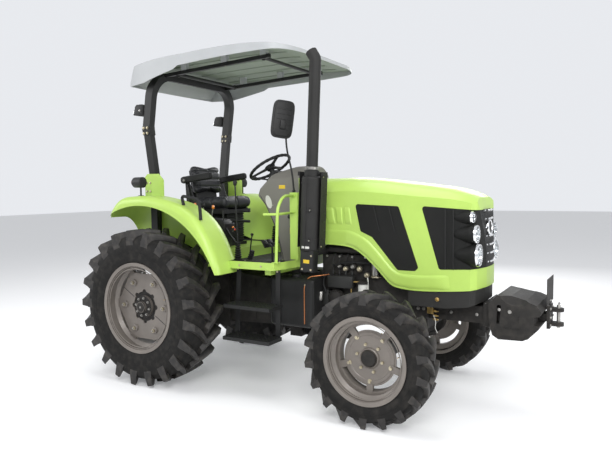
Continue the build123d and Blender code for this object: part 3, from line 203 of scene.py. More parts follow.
class Paintbox:
    """Builds each finish once, as a procedural node material."""

    def __init__(self) -> None:
        """Starts with no material made."""
        self._made: Dict[str, bpy.types.Material] = {}

    def get(self, finish: Finish) -> bpy.types.Material:
        """Returns the material of a finish, made on first use."""
        if finish.name not in self._made:
            self._made[finish.name] = self._make(finish)
        return self._made[finish.name]

    def _make(self, f: Finish) -> bpy.types.Material:
        """Builds the node tree of a finish.

        Args:
            f: The finish.

        Returns:
            The new material.
        """
        mat = bpy.data.materials.new(f.name)
        mat.use_nodes = True
        tree = mat.node_tree
        links = tree.links
        shader = tree.nodes["Principled BSDF"]
        for socket, value in (("Roughness", f.rough), ("Metallic", f.metal), ("Coat Weight", f.coat),
                ("Coat Roughness", COAT_ROUGHNESS), ("Specular IOR Level", f.gloss)):
            shader.inputs[socket].default_value = value
        if f.surface in (Surface.CLEAR, Surface.MIRROR):
            shader.inputs["Base Color"].default_value = (*f.colour, 1)
            if f.surface is Surface.CLEAR:
                shader.inputs["Transmission Weight"].default_value = 1.0
                shader.inputs["IOR"].default_value = GLASS_IOR
            return mat
        where = tree.nodes.new("ShaderNodeTexCoord").outputs["Object"]
        broad = self._node(tree, "TexNoise", {"Scale": 4.0, "Detail": 6.0, "Roughness": 0.6, "Vector": where})
        tone = self._node(tree, "MapRange", {"From Min": 0.3, "From Max": 0.7, "To Min": 1.0 - f.mottle,
            "To Max": 1.0 + f.mottle, "Value": broad.outputs["Fac"]})
        colour = self._node(tree, "VectorMath", {0: f.colour, "Scale": tone.outputs["Result"]},
            operation="SCALE")
        base = colour.outputs["Vector"]
        if f.dust_and_highlight > 0:
            base = self._dust_and_highlight(tree, where, base, f)
        links.new(base, shader.inputs["Base Color"])
        rough = self._node(tree, "MapRange", {"To Min": max(0.03, f.rough - 0.08),
            "To Max": min(1.0, f.rough + 0.12), "Value": broad.outputs["Fac"]})
        links.new(rough.outputs["Result"], shader.inputs["Roughness"])
        bump = self._node(tree, "Bump", {"Strength": min(1.0, f.bump), "Distance": 0.6 / f.grain,
            "Height": self._height(tree, where, f)})
        links.new(bump.outputs["Normal"], shader.inputs["Normal"])
        return mat

    @staticmethod
    def _node(tree: bpy.types.NodeTree, kind: str, feeds: Dict[Any, Any], **settings: str) -> bpy.types.Node:
        """Adds a shader node, and links or sets its inputs.

        Args:
            tree: The material's node tree.
            kind: The node's type, without its common prefix.
            feeds: A socket to link or a value to set, by input name or index.
            settings: The node's own properties.

        Returns:
            The node.
        """
        made = tree.nodes.new("ShaderNode" + kind)
        for name, value in settings.items():
            setattr(made, name, value)
        for key, feed in feeds.items():
            if isinstance(feed, bpy.types.NodeSocket):
                tree.links.new(feed, made.inputs[key])
            else:
                made.inputs[key].default_value = feed
        return made

    def _dust_and_highlight(self, tree: bpy.types.NodeTree, where: bpy.types.NodeSocket, base: bpy.types.NodeSocket,
            f: Finish) -> bpy.types.NodeSocket:
        """Mixes pale dust into the colour by a fine noise; on the tyre lugs the larger share is painted
        highlight.

        Args:
            tree: The material's node tree.
            where: The coordinates.
            base: The clean colour.
            f: The finish, which says how much dust, and on the lugs painted highlight, is mixed in.

        Returns:
            The colour with dust, and on the lugs painted highlight, mixed in.
        """
        noise = self._node(tree, "TexNoise", {"Scale": 19.0, "Detail": 8.0, "Vector": where})
        share = self._node(tree, "MapRange", {"From Min": 0.45, "From Max": 0.75, "To Min": 0.0,
            "To Max": f.dust_and_highlight * 2, "Value": noise.outputs["Fac"]})
        mix = self._node(tree, "Mix", {"Factor": share.outputs["Result"]}, data_type="RGBA")
        clean, dust_and_highlight_input = [s for s in mix.inputs if s.type == "RGBA"]
        dust_and_highlight_input.default_value = DUST_AND_HIGHLIGHT_COLOUR
        tree.links.new(base, clean)
        return [s for s in mix.outputs if s.type == "RGBA"][0]

    def _height(self, tree: bpy.types.NodeTree, where: bpy.types.NodeSocket,
            f: Finish) -> bpy.types.NodeSocket:
        """The height signal of the bump, by the kind of surface.

        Args:
            tree: The material's node tree.
            where: The coordinates.
            f: The finish.

        Returns:
            The height socket.
        """
        if f.surface in (Surface.SCREEN, Surface.TREAD_PLATE):
            feature = "DISTANCE_TO_EDGE" if f.surface is Surface.SCREEN else "F1"
            cells = self._node(tree, "TexVoronoi", {"Randomness": 0.0, "Scale": f.grain, "Vector": where},
                feature=feature)
            return cells.outputs["Distance"]
        if f.surface in (Surface.VINYL, Surface.PLASTIC):
            cells = self._node(tree, "TexVoronoi", {"Scale": f.grain, "Vector": where}, feature="SMOOTH_F1")
            return cells.outputs["Distance"]
        return self._node(tree, "TexNoise", {"Scale": f.grain, "Detail": 3.0, "Vector": where}).outputs["Fac"]


PAINTS = Paintbox()


def circle(count: int, radius: float = 1.0, start: float = 0.0) -> List[Flat]:
    """Evenly spaced points on a circle.

    Args:
        count: How many points.
        radius: The circle's radius.
        start: Angle of the first point, in radians.

    Returns:
        The points, anticlockwise.
    """
    angles = [2 * math.pi * k / count + start for k in range(count)]
    return [(radius * math.cos(t), radius * math.sin(t)) for t in angles]


def link(name: str, data: bpy.types.ID) -> bpy.types.Object:
    """Puts new data into the scene as an object and returns the object."""
    obj = bpy.data.objects.new(name, data)
    bpy.context.scene.collection.objects.link(obj)
    return obj


def soften(mesh: bpy.types.Mesh, crease: Optional[float] = None) -> None:
    """Shades a mesh smooth, with sharp edges above the crease angle in degrees where one is given."""
    for poly in mesh.polygons:
        poly.use_smooth = True
    if crease is not None:
        mesh.set_sharp_from_angle(angle=math.radians(crease))


def bake(obj: bpy.types.Object) -> bpy.types.Mesh:
    """Turns an object with its modifiers into a plain mesh and removes the object."""
    graph = bpy.context.evaluated_depsgraph_get()
    mesh = bpy.data.meshes.new_from_object(obj.evaluated_get(graph), depsgraph=graph)
    bpy.data.objects.remove(obj)
    return mesh


def strip(part: bmesh.types.BMesh, low: Sequence[Any], high: Sequence[Any]) -> None:
    """Joins two rings of vertices by a closed strip of faces."""
    count = len(low)
    for k in range(count):
        part.faces.new((low[k], low[(k + 1) % count], high[(k + 1) % count], high[k]))


def aim(way: Vector) -> Matrix:
    """The rotation that brings z onto a direction."""
    return Vector(ALONG_Z).rotation_difference(way.normalized()).to_matrix().to_4x4()


def rounded(points: Sequence[Point], bend: float, steps: int = 5) -> List[Vector]:
    """Rounds the corners of a polyline by arcs of up to the given radius.

    Args:
        points: The polyline.
        bend: Largest length that a corner takes from each side.
        steps: Points on each arc, less one.

    Returns:
        The rounded path.
    """
    pts = [Vector(p) for p in points]
    out = [pts[0]]
    for a, b, c in zip(pts, pts[1:], pts[2:]):
        u, v = (a - b), (c - b)
        cut = min(bend, 0.45 * u.length, 0.45 * v.length)
        p, q = b + u.normalized() * cut, b + v.normalized() * cut
        for i in range(steps + 1):
            t = i / steps
            out.append((1 - t) ** 2 * p + 2 * t * (1 - t) * b + t ** 2 * q)
    out.append(pts[-1])
    return out


def turn(origin: Point, axis: Point, angle: float) -> Matrix:
    """The rotation by an angle in degrees about an axis through a point."""
    at = Matrix.Translation(origin)
    return at @ Matrix.Rotation(math.radians(angle), 4, Vector(axis)) @ at.inverted()


class Shaper:
    """Collects shapes with their finishes into one mesh piece."""

    def __init__(self, name: str) -> None:
        """Starts an empty piece."""
        self.name = name
        self.bm = bmesh.new()
        self.finishes: List[Finish] = []
        self._index = 0

    def use(self, finish: Finish) -> "Shaper":
        """Sets the finish of the shapes that follow."""
        if finish not in self.finishes:
            self.finishes.append(finish)
        self._index = self.finishes.index(finish)
        return self

    def merge(self, part: bmesh.types.BMesh, matrix: Optional[Matrix] = None) -> "Shaper":
        """Adds a closed shape in the finish in use, and frees it.

        Args:
            part: The shape; its normals are turned outwards.
            matrix: A place for it.

        Returns:
            The shaper itself, as every shape method does.
        """
        if matrix is not None:
            part.transform(matrix)
        bmesh.ops.recalc_face_normals(part, faces=part.faces)
        for face in part.faces:
            face.material_index = self._index
        temp = bpy.data.meshes.new("part")
        part.to_mesh(temp)
        part.free()
        self.bm.from_mesh(temp)
        bpy.data.meshes.remove(temp)
        return self

    def box(self, lo: Point, hi: Point, bevel: float = 0.002, matrix: Optional[Matrix] = None) -> "Shaper":
        """A block between two corners with softened edges.

        Args:
            lo: One corner.
            hi: The opposite corner.
            bevel: Width of the softened edges.
            matrix: A place for it.
        """
        part = bmesh.new()
        bmesh.ops.create_cube(part, size=1.0)
        a, b = Vector(lo), Vector(hi)
        size = Vector([max(abs(b[i] - a[i]), 1e-5) for i in range(3)])
        part.transform(Matrix.Translation((a + b) / 2) @ Matrix.Diagonal((*size, 1)))
        if bevel > 0:
            reach = min(bevel, 0.45 * min(size))
            bmesh.ops.bevel(part, geom=part.edges[:], offset=reach, segments=2, affect="EDGES", profile=0.5)
        return self.merge(part, matrix)

    def cyl(self, p: Point, q: Point, r: float, seg: int = 24, bevel: float = 0.0,
            matrix: Optional[Matrix] = None) -> "Shaper":
        """A round bar from p to q.

        Args:
            p: Middle of the first end.
            q: Middle of the other end.
            r: Its radius.
            seg: Sides of the round.
            bevel: Width of the softened rims.
            matrix: A place for it.
        """
        part = bmesh.new()
        a, b = Vector(p), Vector(q)
        run = b - a
        bmesh.ops.create_cone(part, cap_ends=True, segments=seg, radius1=r, radius2=r, depth=run.length)
        if bevel > 0:
            caps = [e for e in part.edges if len(e.link_faces) == 2 and any(len(f.verts) > 4
                for f in e.link_faces)]
            bmesh.ops.bevel(part, geom=caps, offset=bevel, segments=2, affect="EDGES", profile=0.5)
        part.transform(Matrix.Translation((a + b) / 2) @ aim(run))
        return self.merge(part, matrix)

    def rod(self, p: Point, along: str, end: float, *sizes: float, **more: Any) -> "Shaper":
        """A round bar from p to where its x, y or z is the end; the sizes are cyl's."""
        return self.cyl(p, self._reach(p, along, end), *sizes, **more)

    def nut(self, p: Point, along: str, end: float, *sizes: float, **more: Any) -> "Shaper":
        """A bolt head from p to where its x, y or z is the end; the sizes are hexagon's."""
        return self.hexagon(p, self._reach(p, along, end), *sizes, **more)

    @staticmethod
    def _reach(p: Point, along: str, end: float) -> Point:
        """The point p with one of its measures changed."""
        spot = list(p)
        spot["xyz".index(along)] = end
        return tuple(spot)

    def hexagon(self, p: Point, q: Point, r: float, matrix: Optional[Matrix] = None) -> "Shaper":
        """A bolt head or nut from p to q with a flange disc under it."""
        a, b = Vector(p), Vector(q)
        self.cyl(p, tuple(a + (b - a) * 0.25), r * 1.25, seg=16, matrix=matrix)
        return self.cyl(tuple(a + (b - a) * 0.2), q, r, seg=6, bevel=r * 0.08, matrix=matrix)

    def sphere(self, c: Point, r: float, scale: Point = (1, 1, 1), seg: int = 20) -> "Shaper":
        """A ball, or an egg with a scale for each axis."""
        part = bmesh.new()
        bmesh.ops.create_uvsphere(part, u_segments=seg, v_segments=max(6, seg // 2), radius=r)
        part.transform(Matrix.Translation(c) @ Matrix.Diagonal((*scale, 1)))
        return self.merge(part)

    def tube(self, points: Sequence[Point], r: float, bend: float = 0.03, seg: int = 12,
            matrix: Optional[Matrix] = None) -> "Shaper":
        """A round tube along points.

        Args:
            points: The path's corners.
            r: Radius of the tube.
            bend: Reach of the rounded corners.
            seg: Sides of the round.
            matrix: A place for it.
        """
        path = rounded(points, bend) if len(points) > 2 else [Vector(p) for p in points]
        part = bmesh.new()
        rings = []
        tangent = (path[1] - path[0]).normalized()
        side = tangent.orthogonal().normalized()
        for i, p in enumerate(path):
            ahead = path[min(i + 1, len(path) - 1)] - path[max(i - 1, 0)]
            new = ahead.normalized() if ahead.length > 0 else tangent
            side = (tangent.rotation_difference(new) @ side).normalized()
            side = (side - new * side.dot(new)).normalized()
            tangent = new
            other = tangent.cross(side)
            rings.append([part.verts.new(p + side * u + other * v) for u, v in circle(seg, r)])
        for low, high in zip(rings, rings[1:]):
            strip(part, low, high)
        part.faces.new(rings[0][::-1])
        part.faces.new(rings[-1])
        return self.merge(part, matrix)

    def lathe(self, profile: Sequence[Flat], origin: Point, axis: Point, seg: int = 48, closed: bool = True,
            matrix: Optional[Matrix] = None) -> "Shaper":
        """Turns an outline about an axis through the origin.

        Args:
            profile: The outline, as (offset along the axis, radius).
            origin: Where the axis starts.
            axis: Its direction.
            seg: Sides of the round.
            closed: Whether the outline's last point joins its first.
            matrix: A place for it.
        """
        part = bmesh.new()
        rings = []
        for offset, radius in profile:
            rings.append([part.verts.new((u, v, offset)) for u, v in circle(seg, radius)])
        for low, high in list(zip(rings, rings[1:])) + ([(rings[-1], rings[0])] if closed else []):
            strip(part, low, high)
        bmesh.ops.remove_doubles(part, verts=part.verts, dist=1e-6)
        part.transform(Matrix.Translation(origin) @ aim(Vector(axis)))
        return self.merge(part, matrix)

    def ring(self, centre: Point, axis: Point, big: float, small: float, seg: int = 48,
            tube_seg: int = 12) -> "Shaper":
        """A torus, by the radius of its middle line and that of its tube."""
        profile = [(small * math.sin(2 * math.pi * k / tube_seg),
            big + small * math.cos(2 * math.pi * k / tube_seg)) for k in range(tube_seg)]
        return self.lathe(profile, centre, axis, seg)

    def prism(self, outline: Sequence[Flat], a: float, b: float, along: str = "y", bevel: float = 0.0,
            matrix: Optional[Matrix] = None) -> "Shaper":
        """Extrudes a flat outline.

        Args:
            outline: Its points: (x, z) along y, (x, y) along z or (y, z) along x.
            a: Where it starts.
            b: Where it ends.
            along: The axis that it is extruded along.
            bevel: Width of the softened edges.
            matrix: A place for it.
        """
        place: Dict[str, Callable[[float, float, float], Point]] = {"y": lambda u, v, w: (u, w, v),
            "z": lambda u, v, w: (u, v, w), "x": lambda u, v, w: (w, u, v)}
        put = place[along]
        part = bmesh.new()
        low = [part.verts.new(put(u, v, a)) for u, v in outline]
        high = [part.verts.new(put(u, v, b)) for u, v in outline]
        part.faces.new(low)
        part.faces.new(high[::-1])
        strip(part, low, high)
        bmesh.ops.recalc_face_normals(part, faces=part.faces)
        if bevel > 0:
            bmesh.ops.bevel(part, geom=part.edges[:], offset=bevel, segments=2, affect="EDGES", profile=0.5,
                clamp_overlap=True)
        return self.merge(part, matrix)

    def mirror(self) -> "Shaper":
        """Adds the mirror image in y of everything so far."""
        geom = self.bm.verts[:] + self.bm.edges[:] + self.bm.faces[:]
        twin = bmesh.ops.duplicate(self.bm, geom=geom)["geom"]
        for v in [g for g in twin if isinstance(g, bmesh.types.BMVert)]:
            v.co.y = -v.co.y
        bmesh.ops.reverse_faces(self.bm, faces=[g for g in twin if isinstance(g, bmesh.types.BMFace)])
        return self

    def flip(self) -> "Shaper":
        """Moves everything so far to the other hand."""
        for v in self.bm.verts:
            v.co.y = -v.co.y
        bmesh.ops.reverse_faces(self.bm, faces=self.bm.faces)
        return self

    def make(self, body: str, smooth: float = CREASE) -> bpy.types.Object:
        """Writes the mesh, shifts it to the frame's origin and lets it ride on a body.

        Args:
            body: The body that carries it.
            smooth: Edges above this angle in degrees stay sharp.

        Returns:
            The object.
        """
        mesh = bpy.data.meshes.new(self.name)
        self.bm.to_mesh(mesh)
        self.bm.free()
        mesh.transform(Matrix.Translation((SHIFT_X, 0, 0)))
        for finish in self.finishes:
            mesh.materials.append(PAINTS.get(finish))
        soften(mesh, smooth)
        obj = link(self.name, mesh)
        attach(obj, body)
        LOG.info("%s: %d faces", self.name, len(mesh.polygons))
        return obj


class Repeater:
    """A geometry node group that repeats one mesh by turns about y and by steps, then realizes it.

    The group's named inputs are Source, Material, Count, Step Turn, Start Turn, Step Move and
    Centre. Copy i is turned by Start + i * Step about the y axis through the source's own
    origin, moved by i * Step Move, and the whole is set at Centre.
    """

    _group: Optional[bpy.types.NodeTree] = None

    @classmethod
    def group(cls) -> bpy.types.NodeTree:
        """The shared node group, made on first use."""
        if cls._group is not None:
            return cls._group
        tree = bpy.data.node_groups.new("repeat_parts", "GeometryNodeTree")
        for name, way, kind in (("Geometry", "INPUT", "Geometry"), ("Source", "INPUT", "Object"),
                ("Material", "INPUT", "Material"), ("Count", "INPUT", "Int"), ("Step Turn", "INPUT", "Float"),
                ("Start Turn", "INPUT", "Float"), ("Step Move", "INPUT", "Vector"),
                ("Centre", "INPUT", "Vector"), ("Geometry", "OUTPUT", "Geometry")):
            tree.interface.new_socket(name=name, in_out=way, socket_type="NodeSocket" + kind)
        kinds = {"gin": "NodeGroupInput", "gout": "NodeGroupOutput", "line": "GeometryNodeMeshLine",
            "source": "GeometryNodeObjectInfo", "index": "GeometryNodeInputIndex", "times": "ShaderNodeMath",
            "angles": "ShaderNodeCombineXYZ", "euler": "FunctionNodeEulerToRotation",
            "place": "GeometryNodeInstanceOnPoints", "real": "GeometryNodeRealizeInstances",
            "move": "GeometryNodeTransform", "paint": "GeometryNodeSetMaterial"}
        made = {word: tree.nodes.new(kind) for word, kind in kinds.items()}
        made["line"].mode = "OFFSET"
        made["source"].transform_space = "ORIGINAL"
        made["times"].operation = "MULTIPLY_ADD"
        for start, out, end, into in (("gin", "Count", "line", "Count"),
                ("gin", "Step Move", "line", "Offset"), ("gin", "Source", "source", "Object"),
                ("index", 0, "times", 0), ("gin", "Step Turn", "times", 1), ("gin", "Start Turn", "times", 2),
                ("times", 0, "angles", "Y"), ("angles", 0, "euler", 0), ("line", "Mesh", "place", "Points"),
                ("source", "Geometry", "place", "Instance"), ("euler", 0, "place", "Rotation"),
                ("place", "Instances", "real", "Geometry"), ("real", "Geometry", "move", "Geometry"),
                ("gin", "Centre", "move", "Translation"), ("move", "Geometry", "paint", "Geometry"),
                ("gin", "Material", "paint", "Material"), ("paint", "Geometry", "gout", "Geometry")):
            tree.links.new(made[start].outputs[out], made[end].inputs[into])
        cls._group = tree
        return tree

    @classmethod
    def mesh(cls, source: Shaper, finish: Finish, count: int, step_turn: float = 0.0, start_turn: float = 0.0,
            step_move: Point = HERE, centre: Point = HERE) -> bpy.types.Mesh:
        """Repeats the source's mesh and returns the realized plain mesh.

        Args:
            source: The piece to repeat, in its own space about the origin.
            finish: The finish of every copy.
            count: How many copies.
            step_turn: Turn between copies, in degrees about y.
            start_turn: Turn of the first copy.
            step_move: Move between copies.
            centre: Where the pattern's origin goes.

        Returns:
            The plain mesh.
        """
        seed = bpy.data.meshes.new("source")
        source.bm.to_mesh(seed)
        source.bm.free()
        soften(seed, CREASE)
        master = link("source", seed)
        host = link("host", bpy.data.meshes.new("host"))
        modifier = host.modifiers.new("repeat", "NODES")
        modifier.node_group = cls.group()
        values = {"Source": master, "Material": PAINTS.get(finish), "Count": count,
            "Step Turn": math.radians(step_turn), "Start Turn": math.radians(start_turn),
            "Step Move": step_move, "Centre": centre}
        for item in cls.group().interface.items_tree:
            if item.in_out == "INPUT" and item.name in values:
                modifier[item.identifier] = values[item.name]
        result = bake(host)
        bpy.data.objects.remove(master)
        return result

    @classmethod
    def add(cls, target: Shaper, source: Shaper, finish: Finish, count: int, **where: Any) -> None:
        """Repeats a source and joins the copies to a target piece.

        Args:
            target: The piece that takes the copies.
            source: The shape to repeat.
            finish: The finish of every copy.
            count: How many copies.
            where: The turns, the moves and the centre, as mesh takes them.
        """
        made = cls.mesh(source, finish, count, **where)
        target.use(finish)
        first = len(target.bm.faces)
        target.bm.from_mesh(made)
        target.bm.faces.ensure_lookup_table()
        for face in target.bm.faces[first:]:
            face.material_index = target.finishes.index(finish)
        bpy.data.meshes.remove(made)


@dataclass(frozen=True)
class TyreSize:
    """Sizes of a farm tyre with bar lugs, in metres.

    Args:
        radius: Over the lugs.
        half: Half the width of the section.
        rim: Radius at the rim's bead seat.
        bead: Offset of the bead from the middle.
        lugs: Lugs on each hand.
        lug_height: How far a lug stands off the casing.
        lug_width: Width of a lug along the tread.
        shoulder: Radius at which a lug ends on the side wall.
    """

    radius: float
    half: float
    rim: float
    bead: float
    lugs: int
    lug_height: float
    lug_width: float
    shoulder: float


REAR_TYRE = TyreSize(0.703, 0.1885, 0.407, 0.161, 21, 0.04, 0.055, 0.6)
FRONT_TYRE = TyreSize(0.498, 0.1228, 0.328, 0.097, 18, 0.031, 0.04, 0.425)


@dataclass(frozen=True)
class Tyre:
    """A casing with curved bar lugs that lead at the middle of the tread."""

    size: TyreSize
    steps: int = 9
    sunk: float = 0.006
    lead: float = 0.8
    flange: float = 0.0215

    def _casing(self) -> List[Flat]:
        """Half outline of the casing from the crown to the bead, as (offset, radius)."""
        s = self.size
        crown = s.radius - s.lug_height
        rim, half = s.rim, s.half
        mid = rim + 0.52 * (crown - rim)
        return [(0.0, crown), (0.3 * half, crown - 0.002), (0.6 * half, crown - 0.01),
            (0.8 * half, crown - 0.024), (0.92 * half, crown - 0.052), (0.975 * half,
            mid + 0.45 * (crown - mid)), (0.995 * half, mid), (0.985 * half, mid - 0.4 * (mid - rim)),
            (s.bead + 0.016, rim + 0.02), (s.bead + 0.01, rim + 0.008), (s.bead, rim - 0.012),
            (s.bead - 0.004, rim - self.flange)]

    def surface(self, y: float) -> float:
        """Radius of the casing at an offset from the middle."""
        line = self._casing()[:7]
        for (y0, r0), (y1, r1) in zip(line, line[1:]):
            if y0 <= y <= y1:
                return r0 + (r1 - r0) * (y - y0) / (y1 - y0)
        return line[-1][1]

    def _lug(self) -> Shaper:
        """One lug of the left half: leads at the middle, trails and thickens at the shoulder."""
        s = self.size
        shape = Shaper("lug")
        half = s.half
        spread = 360.0 / s.lugs
        stations = []
        for i in range(self.steps + 1):
            t = i / self.steps
            y = -0.07 * half + t * (0.985 + 0.07) * half
            lead = math.radians(self.lead * spread * (1 - t) ** 1.25)
            top = s.radius - 0.0015 - 0.016 * max(0.0, t - 0.55) ** 1.4
            width = s.lug_width * (0.92 + 0.3 * t)
            stations.append((lead, y, top, self.surface(max(0.0, y)) - self.sunk, width))
        stations.append((0.0, 0.997 * half, s.shoulder + 0.03, s.shoulder + 0.012, stations[-1][4]))
        rings = []
        for lead, y, top, low, width in stations:
            ring = []
            for radius, reach in ((low, 0.62), (top - 0.004, 0.44), (top, 0.38), (top, -0.38),
                    (top - 0.004, -0.44), (low, -0.62)):
                angle = lead + reach * width / radius
                ring.append(shape.bm.verts.new((radius * math.cos(angle), y, -radius * math.sin(angle))))
            rings.append(ring)
        for low, high in zip(rings, rings[1:]):
            strip(shape.bm, low, high)
        shape.bm.faces.new(rings[0][::-1])
        shape.bm.faces.new(rings[-1])
        bmesh.ops.recalc_face_normals(shape.bm, faces=shape.bm.faces)
        return shape

    def build(self, name: str, node: str, body: str, centre: Point) -> bpy.types.Object:
        """Makes the whole tyre and lets it stand for its plain CAD casing.

        Args:
            name: The piece's name.
            node: The CAD node that it replaces.
            body: The wheel that carries it.
            centre: The wheel's middle.

        Returns:
            The object.
        """
        s = self.size
        shape = Shaper(name).use(TYRE)
        half = self._casing()
        ring = [(-o, r) for o, r in half[::-1]] + half[1:]
        shape.lathe(ring + [(0.0, s.rim - self.flange)], HERE, ALONG_Y, seg=120)
        for offset in (0.6, 0.8):
            radius = s.rim + offset * (s.radius - s.lug_height - s.rim) * 0.62
            for sign in (1, -1):
                shape.ring((0, sign * s.half * 0.985, 0), ALONG_Y, radius, 0.0022, 96, 6)
        pitch = 360.0 / s.lugs
        # The lugs take the finish with the painted highlight.
        Repeater.add(shape, self._lug(), LUG_PAINTED_HIGHLIGHT, s.lugs, step_turn=pitch)
        Repeater.add(shape, self._lug().flip(), LUG_PAINTED_HIGHLIGHT, s.lugs, step_turn=pitch, start_turn=pitch / 2)
        shape.bm.transform(Matrix.Translation(centre))
        obj = shape.make(body, 34)
        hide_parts(node)
        return obj


@dataclass(frozen=True)
class Wheels:
    """Tyres, studs, nuts and valves of the four wheels.

    The fittings' y runs outwards from the wheel's own middle.
    """

    rear: Point = (0.0, 0.81, 0.703)
    front: Point = (2.18, 0.79, 0.498)
    rear_disc: float = 0.068
    rear_hub: float = 0.084
    rear_nut: float = 0.08
    front_disc: float = -0.007
    front_bolt: float = 0.103
    front_lug: float = 0.178
    well_bolt: float = 0.2397

    def build(self) -> None:
        """Builds each wheel's tyre and its fittings."""
        for side in Side:
            for end, centre, size in (("rear", self.rear, REAR_TYRE), ("front", self.front, FRONT_TYRE)):
                body = "%s_wheel_%s" % (end, side.word)
                node = "%s_tyre_%s" % (end, side.word)
                place = (centre[0], centre[1] * side.value, centre[2])
                Tyre(size).build("%s_tread_%s" % (end, side.word), node, body, place)
            self._rear_fittings(side)
            self._front_fittings(side)

    def _rear_fittings(self, side: Side) -> None:
        """Hub ring with its bolts, conical washers under the disc's nuts, rim ribs, valve."""
        shape = Shaper("rear_hub_%s" % side.word).use(RIM)
        hub, pitch = self.rear_hub, self.rear_nut
        for k in range(6):
            spin = Matrix.Rotation(math.radians(60 * k), 4, "Y")
            washer = spin @ Vector((self.well_bolt, self.rear_disc + 0.0098, 0))
            shape.use(RIM).lathe([(0, 0.03), (0.003, 0.03), (0.007, 0.024), (0.007, 0.0)], washer, ALONG_Y,
                28, False)
            out = washer + Vector((0, 0.006, 0))
            shape.use(ZINC).cyl(out, out + Vector((0, 0.016, 0)), 0.0165, 6, 0.0015)
            shape.use(STEEL).cyl(out + Vector((0, 0.014, 0)), out + Vector((0, 0.027, 0)), 0.0085, 14, 0.001)
        nut = Shaper("nut").use(STEEL)
        nut.rod((pitch, hub - 0.001, 0), "y", hub + 0.014, 0.012, 6, 0.001)
        nut.rod((pitch, hub + 0.012, 0), "y", hub + 0.022, 0.0062, seg=12)
        Repeater.add(shape, nut, STEEL, 8, step_turn=45, start_turn=10)
        shape.use(CASTING).lathe([(hub - 0.004, 0.096), (hub + 0.002, 0.0975), (hub + 0.004, 0.092),
            (hub + 0.004, 0.064), (hub + 0.012, 0.057), (hub + 0.012, 0.046), (hub - 0.004, 0.046)], HERE,
            ALONG_Y, seg=64)
        shape.lathe([(0.0562, 0.096), (0.058, 0.096), (0.058, 0.1555), (0.0562, 0.1555)], HERE, ALONG_Y, 64)
        shape.lathe([(0.1195, 0.0), (0.1205, 0.0), (0.1215, 0.03), (0.1205, 0.044), (0.1175, 0.0487),
            (0.11, 0.0487)], HERE, ALONG_Y, 44, False)
        shape.use(STEEL).rod((0, 0.119, 0), "y", 0.126, 0.01, 6, 0.001)
        seam = Shaper("seam").use(BLACK)
        seam.box((0.152, 0.067, -0.0036), (0.305, 0.0686, 0.0036), 0.0004)
        Repeater.add(shape, seam, BLACK, 2, step_turn=180, start_turn=31)
        for r, small in ((0.352, 0.004), (0.372, 0.0045)):
            shape.use(RIM).ring((0, 0.158, 0), ALONG_Y, r, small, 90, 8)
        shape.use(BRASS).cyl((0.325, 0.12, 0.1), (0.318, 0.152, 0.098), 0.004, seg=10)
        shape.bm.transform(Matrix.Translation(self.rear))
        if side is Side.RIGHT:
            shape.flip()
        shape.make("rear_wheel_" + side.word)

    def _front_fittings(self, side: Side) -> None:
        """Lug bolts, disc bolts and the domed hub cap."""
        shape = Shaper("front_hub_%s" % side.word)
        disc, pitch, out = self.front_disc, self.front_bolt, -self.front_lug
        bolt = Shaper("bolt").use(ZINC)
        bolt.rod((pitch, disc, 0), "y", disc + 0.014, 0.0125, 6, 0.001)
        bolt.rod((pitch, disc + 0.012, 0), "y", disc + 0.024, 0.0065, seg=12)
        Repeater.add(shape, bolt, ZINC, 6, step_turn=60, start_turn=12)
        lug = Shaper("lug_bolt").use(ZINC)
        lug.rod((0, disc - 0.002, out), "y", disc + 0.006, 0.02, 20, 0.001)
        lug.rod((0, disc + 0.004, out), "y", disc + 0.018, 0.0125, 6, 0.001)
        Repeater.add(shape, lug, ZINC, 5, step_turn=72)
        shape.use(RIM)
        shape.lathe([(disc, 0.196), (disc + 0.0035, 0.192), (disc + 0.0035, 0.17), (disc, 0.166)], HERE,
            ALONG_Y, seg=64)
        shape.lathe([(disc, 0.08), (disc + 0.012, 0.074), (disc + 0.016, 0.066), (disc, 0.058)], HERE,
            ALONG_Y, seg=48)
        shape.use(CASTING).lathe([(0.008, 0.06), (0.02, 0.0595), (0.026, 0.054), (0.029, 0.036),
            (0.03, 0.016), (0.03, 0.0), (0.008, 0.0)], HERE, ALONG_Y, seg=48, closed=False)
        shape.use(RIM).lathe([(-0.006, 0.292), (-0.002, 0.278), (-0.004, 0.25), (-0.01, 0.246),
            (-0.072, 0.246), (-0.078, 0.292)], HERE, ALONG_Y, seg=96)
        for r, small in ((0.282, 0.0035), (0.298, 0.004)):
            shape.use(RIM).ring((0, 0.094, 0), ALONG_Y, r, small, 80, 8)
        shape.use(BRASS).cyl((0.262, 0.066, 0.06), (0.255, 0.092, 0.058), 0.0035, seg=10)
        shape.bm.transform(Matrix.Translation(self.front))
        if side is Side.RIGHT:
            shape.flip()
        shape.make("front_wheel_" + side.word)


@dataclass(frozen=True)
class Lamp:
    """One headlamp: where its lens sits and how wide it is."""

    x: float
    y: float
    z: float
    r: float


LAMPS = (Lamp(2.787, 0.27, 1.517, 0.05), Lamp(2.816, 0.268, 1.392, 0.068), Lamp(2.83, 0.258, 1.234, 0.084))


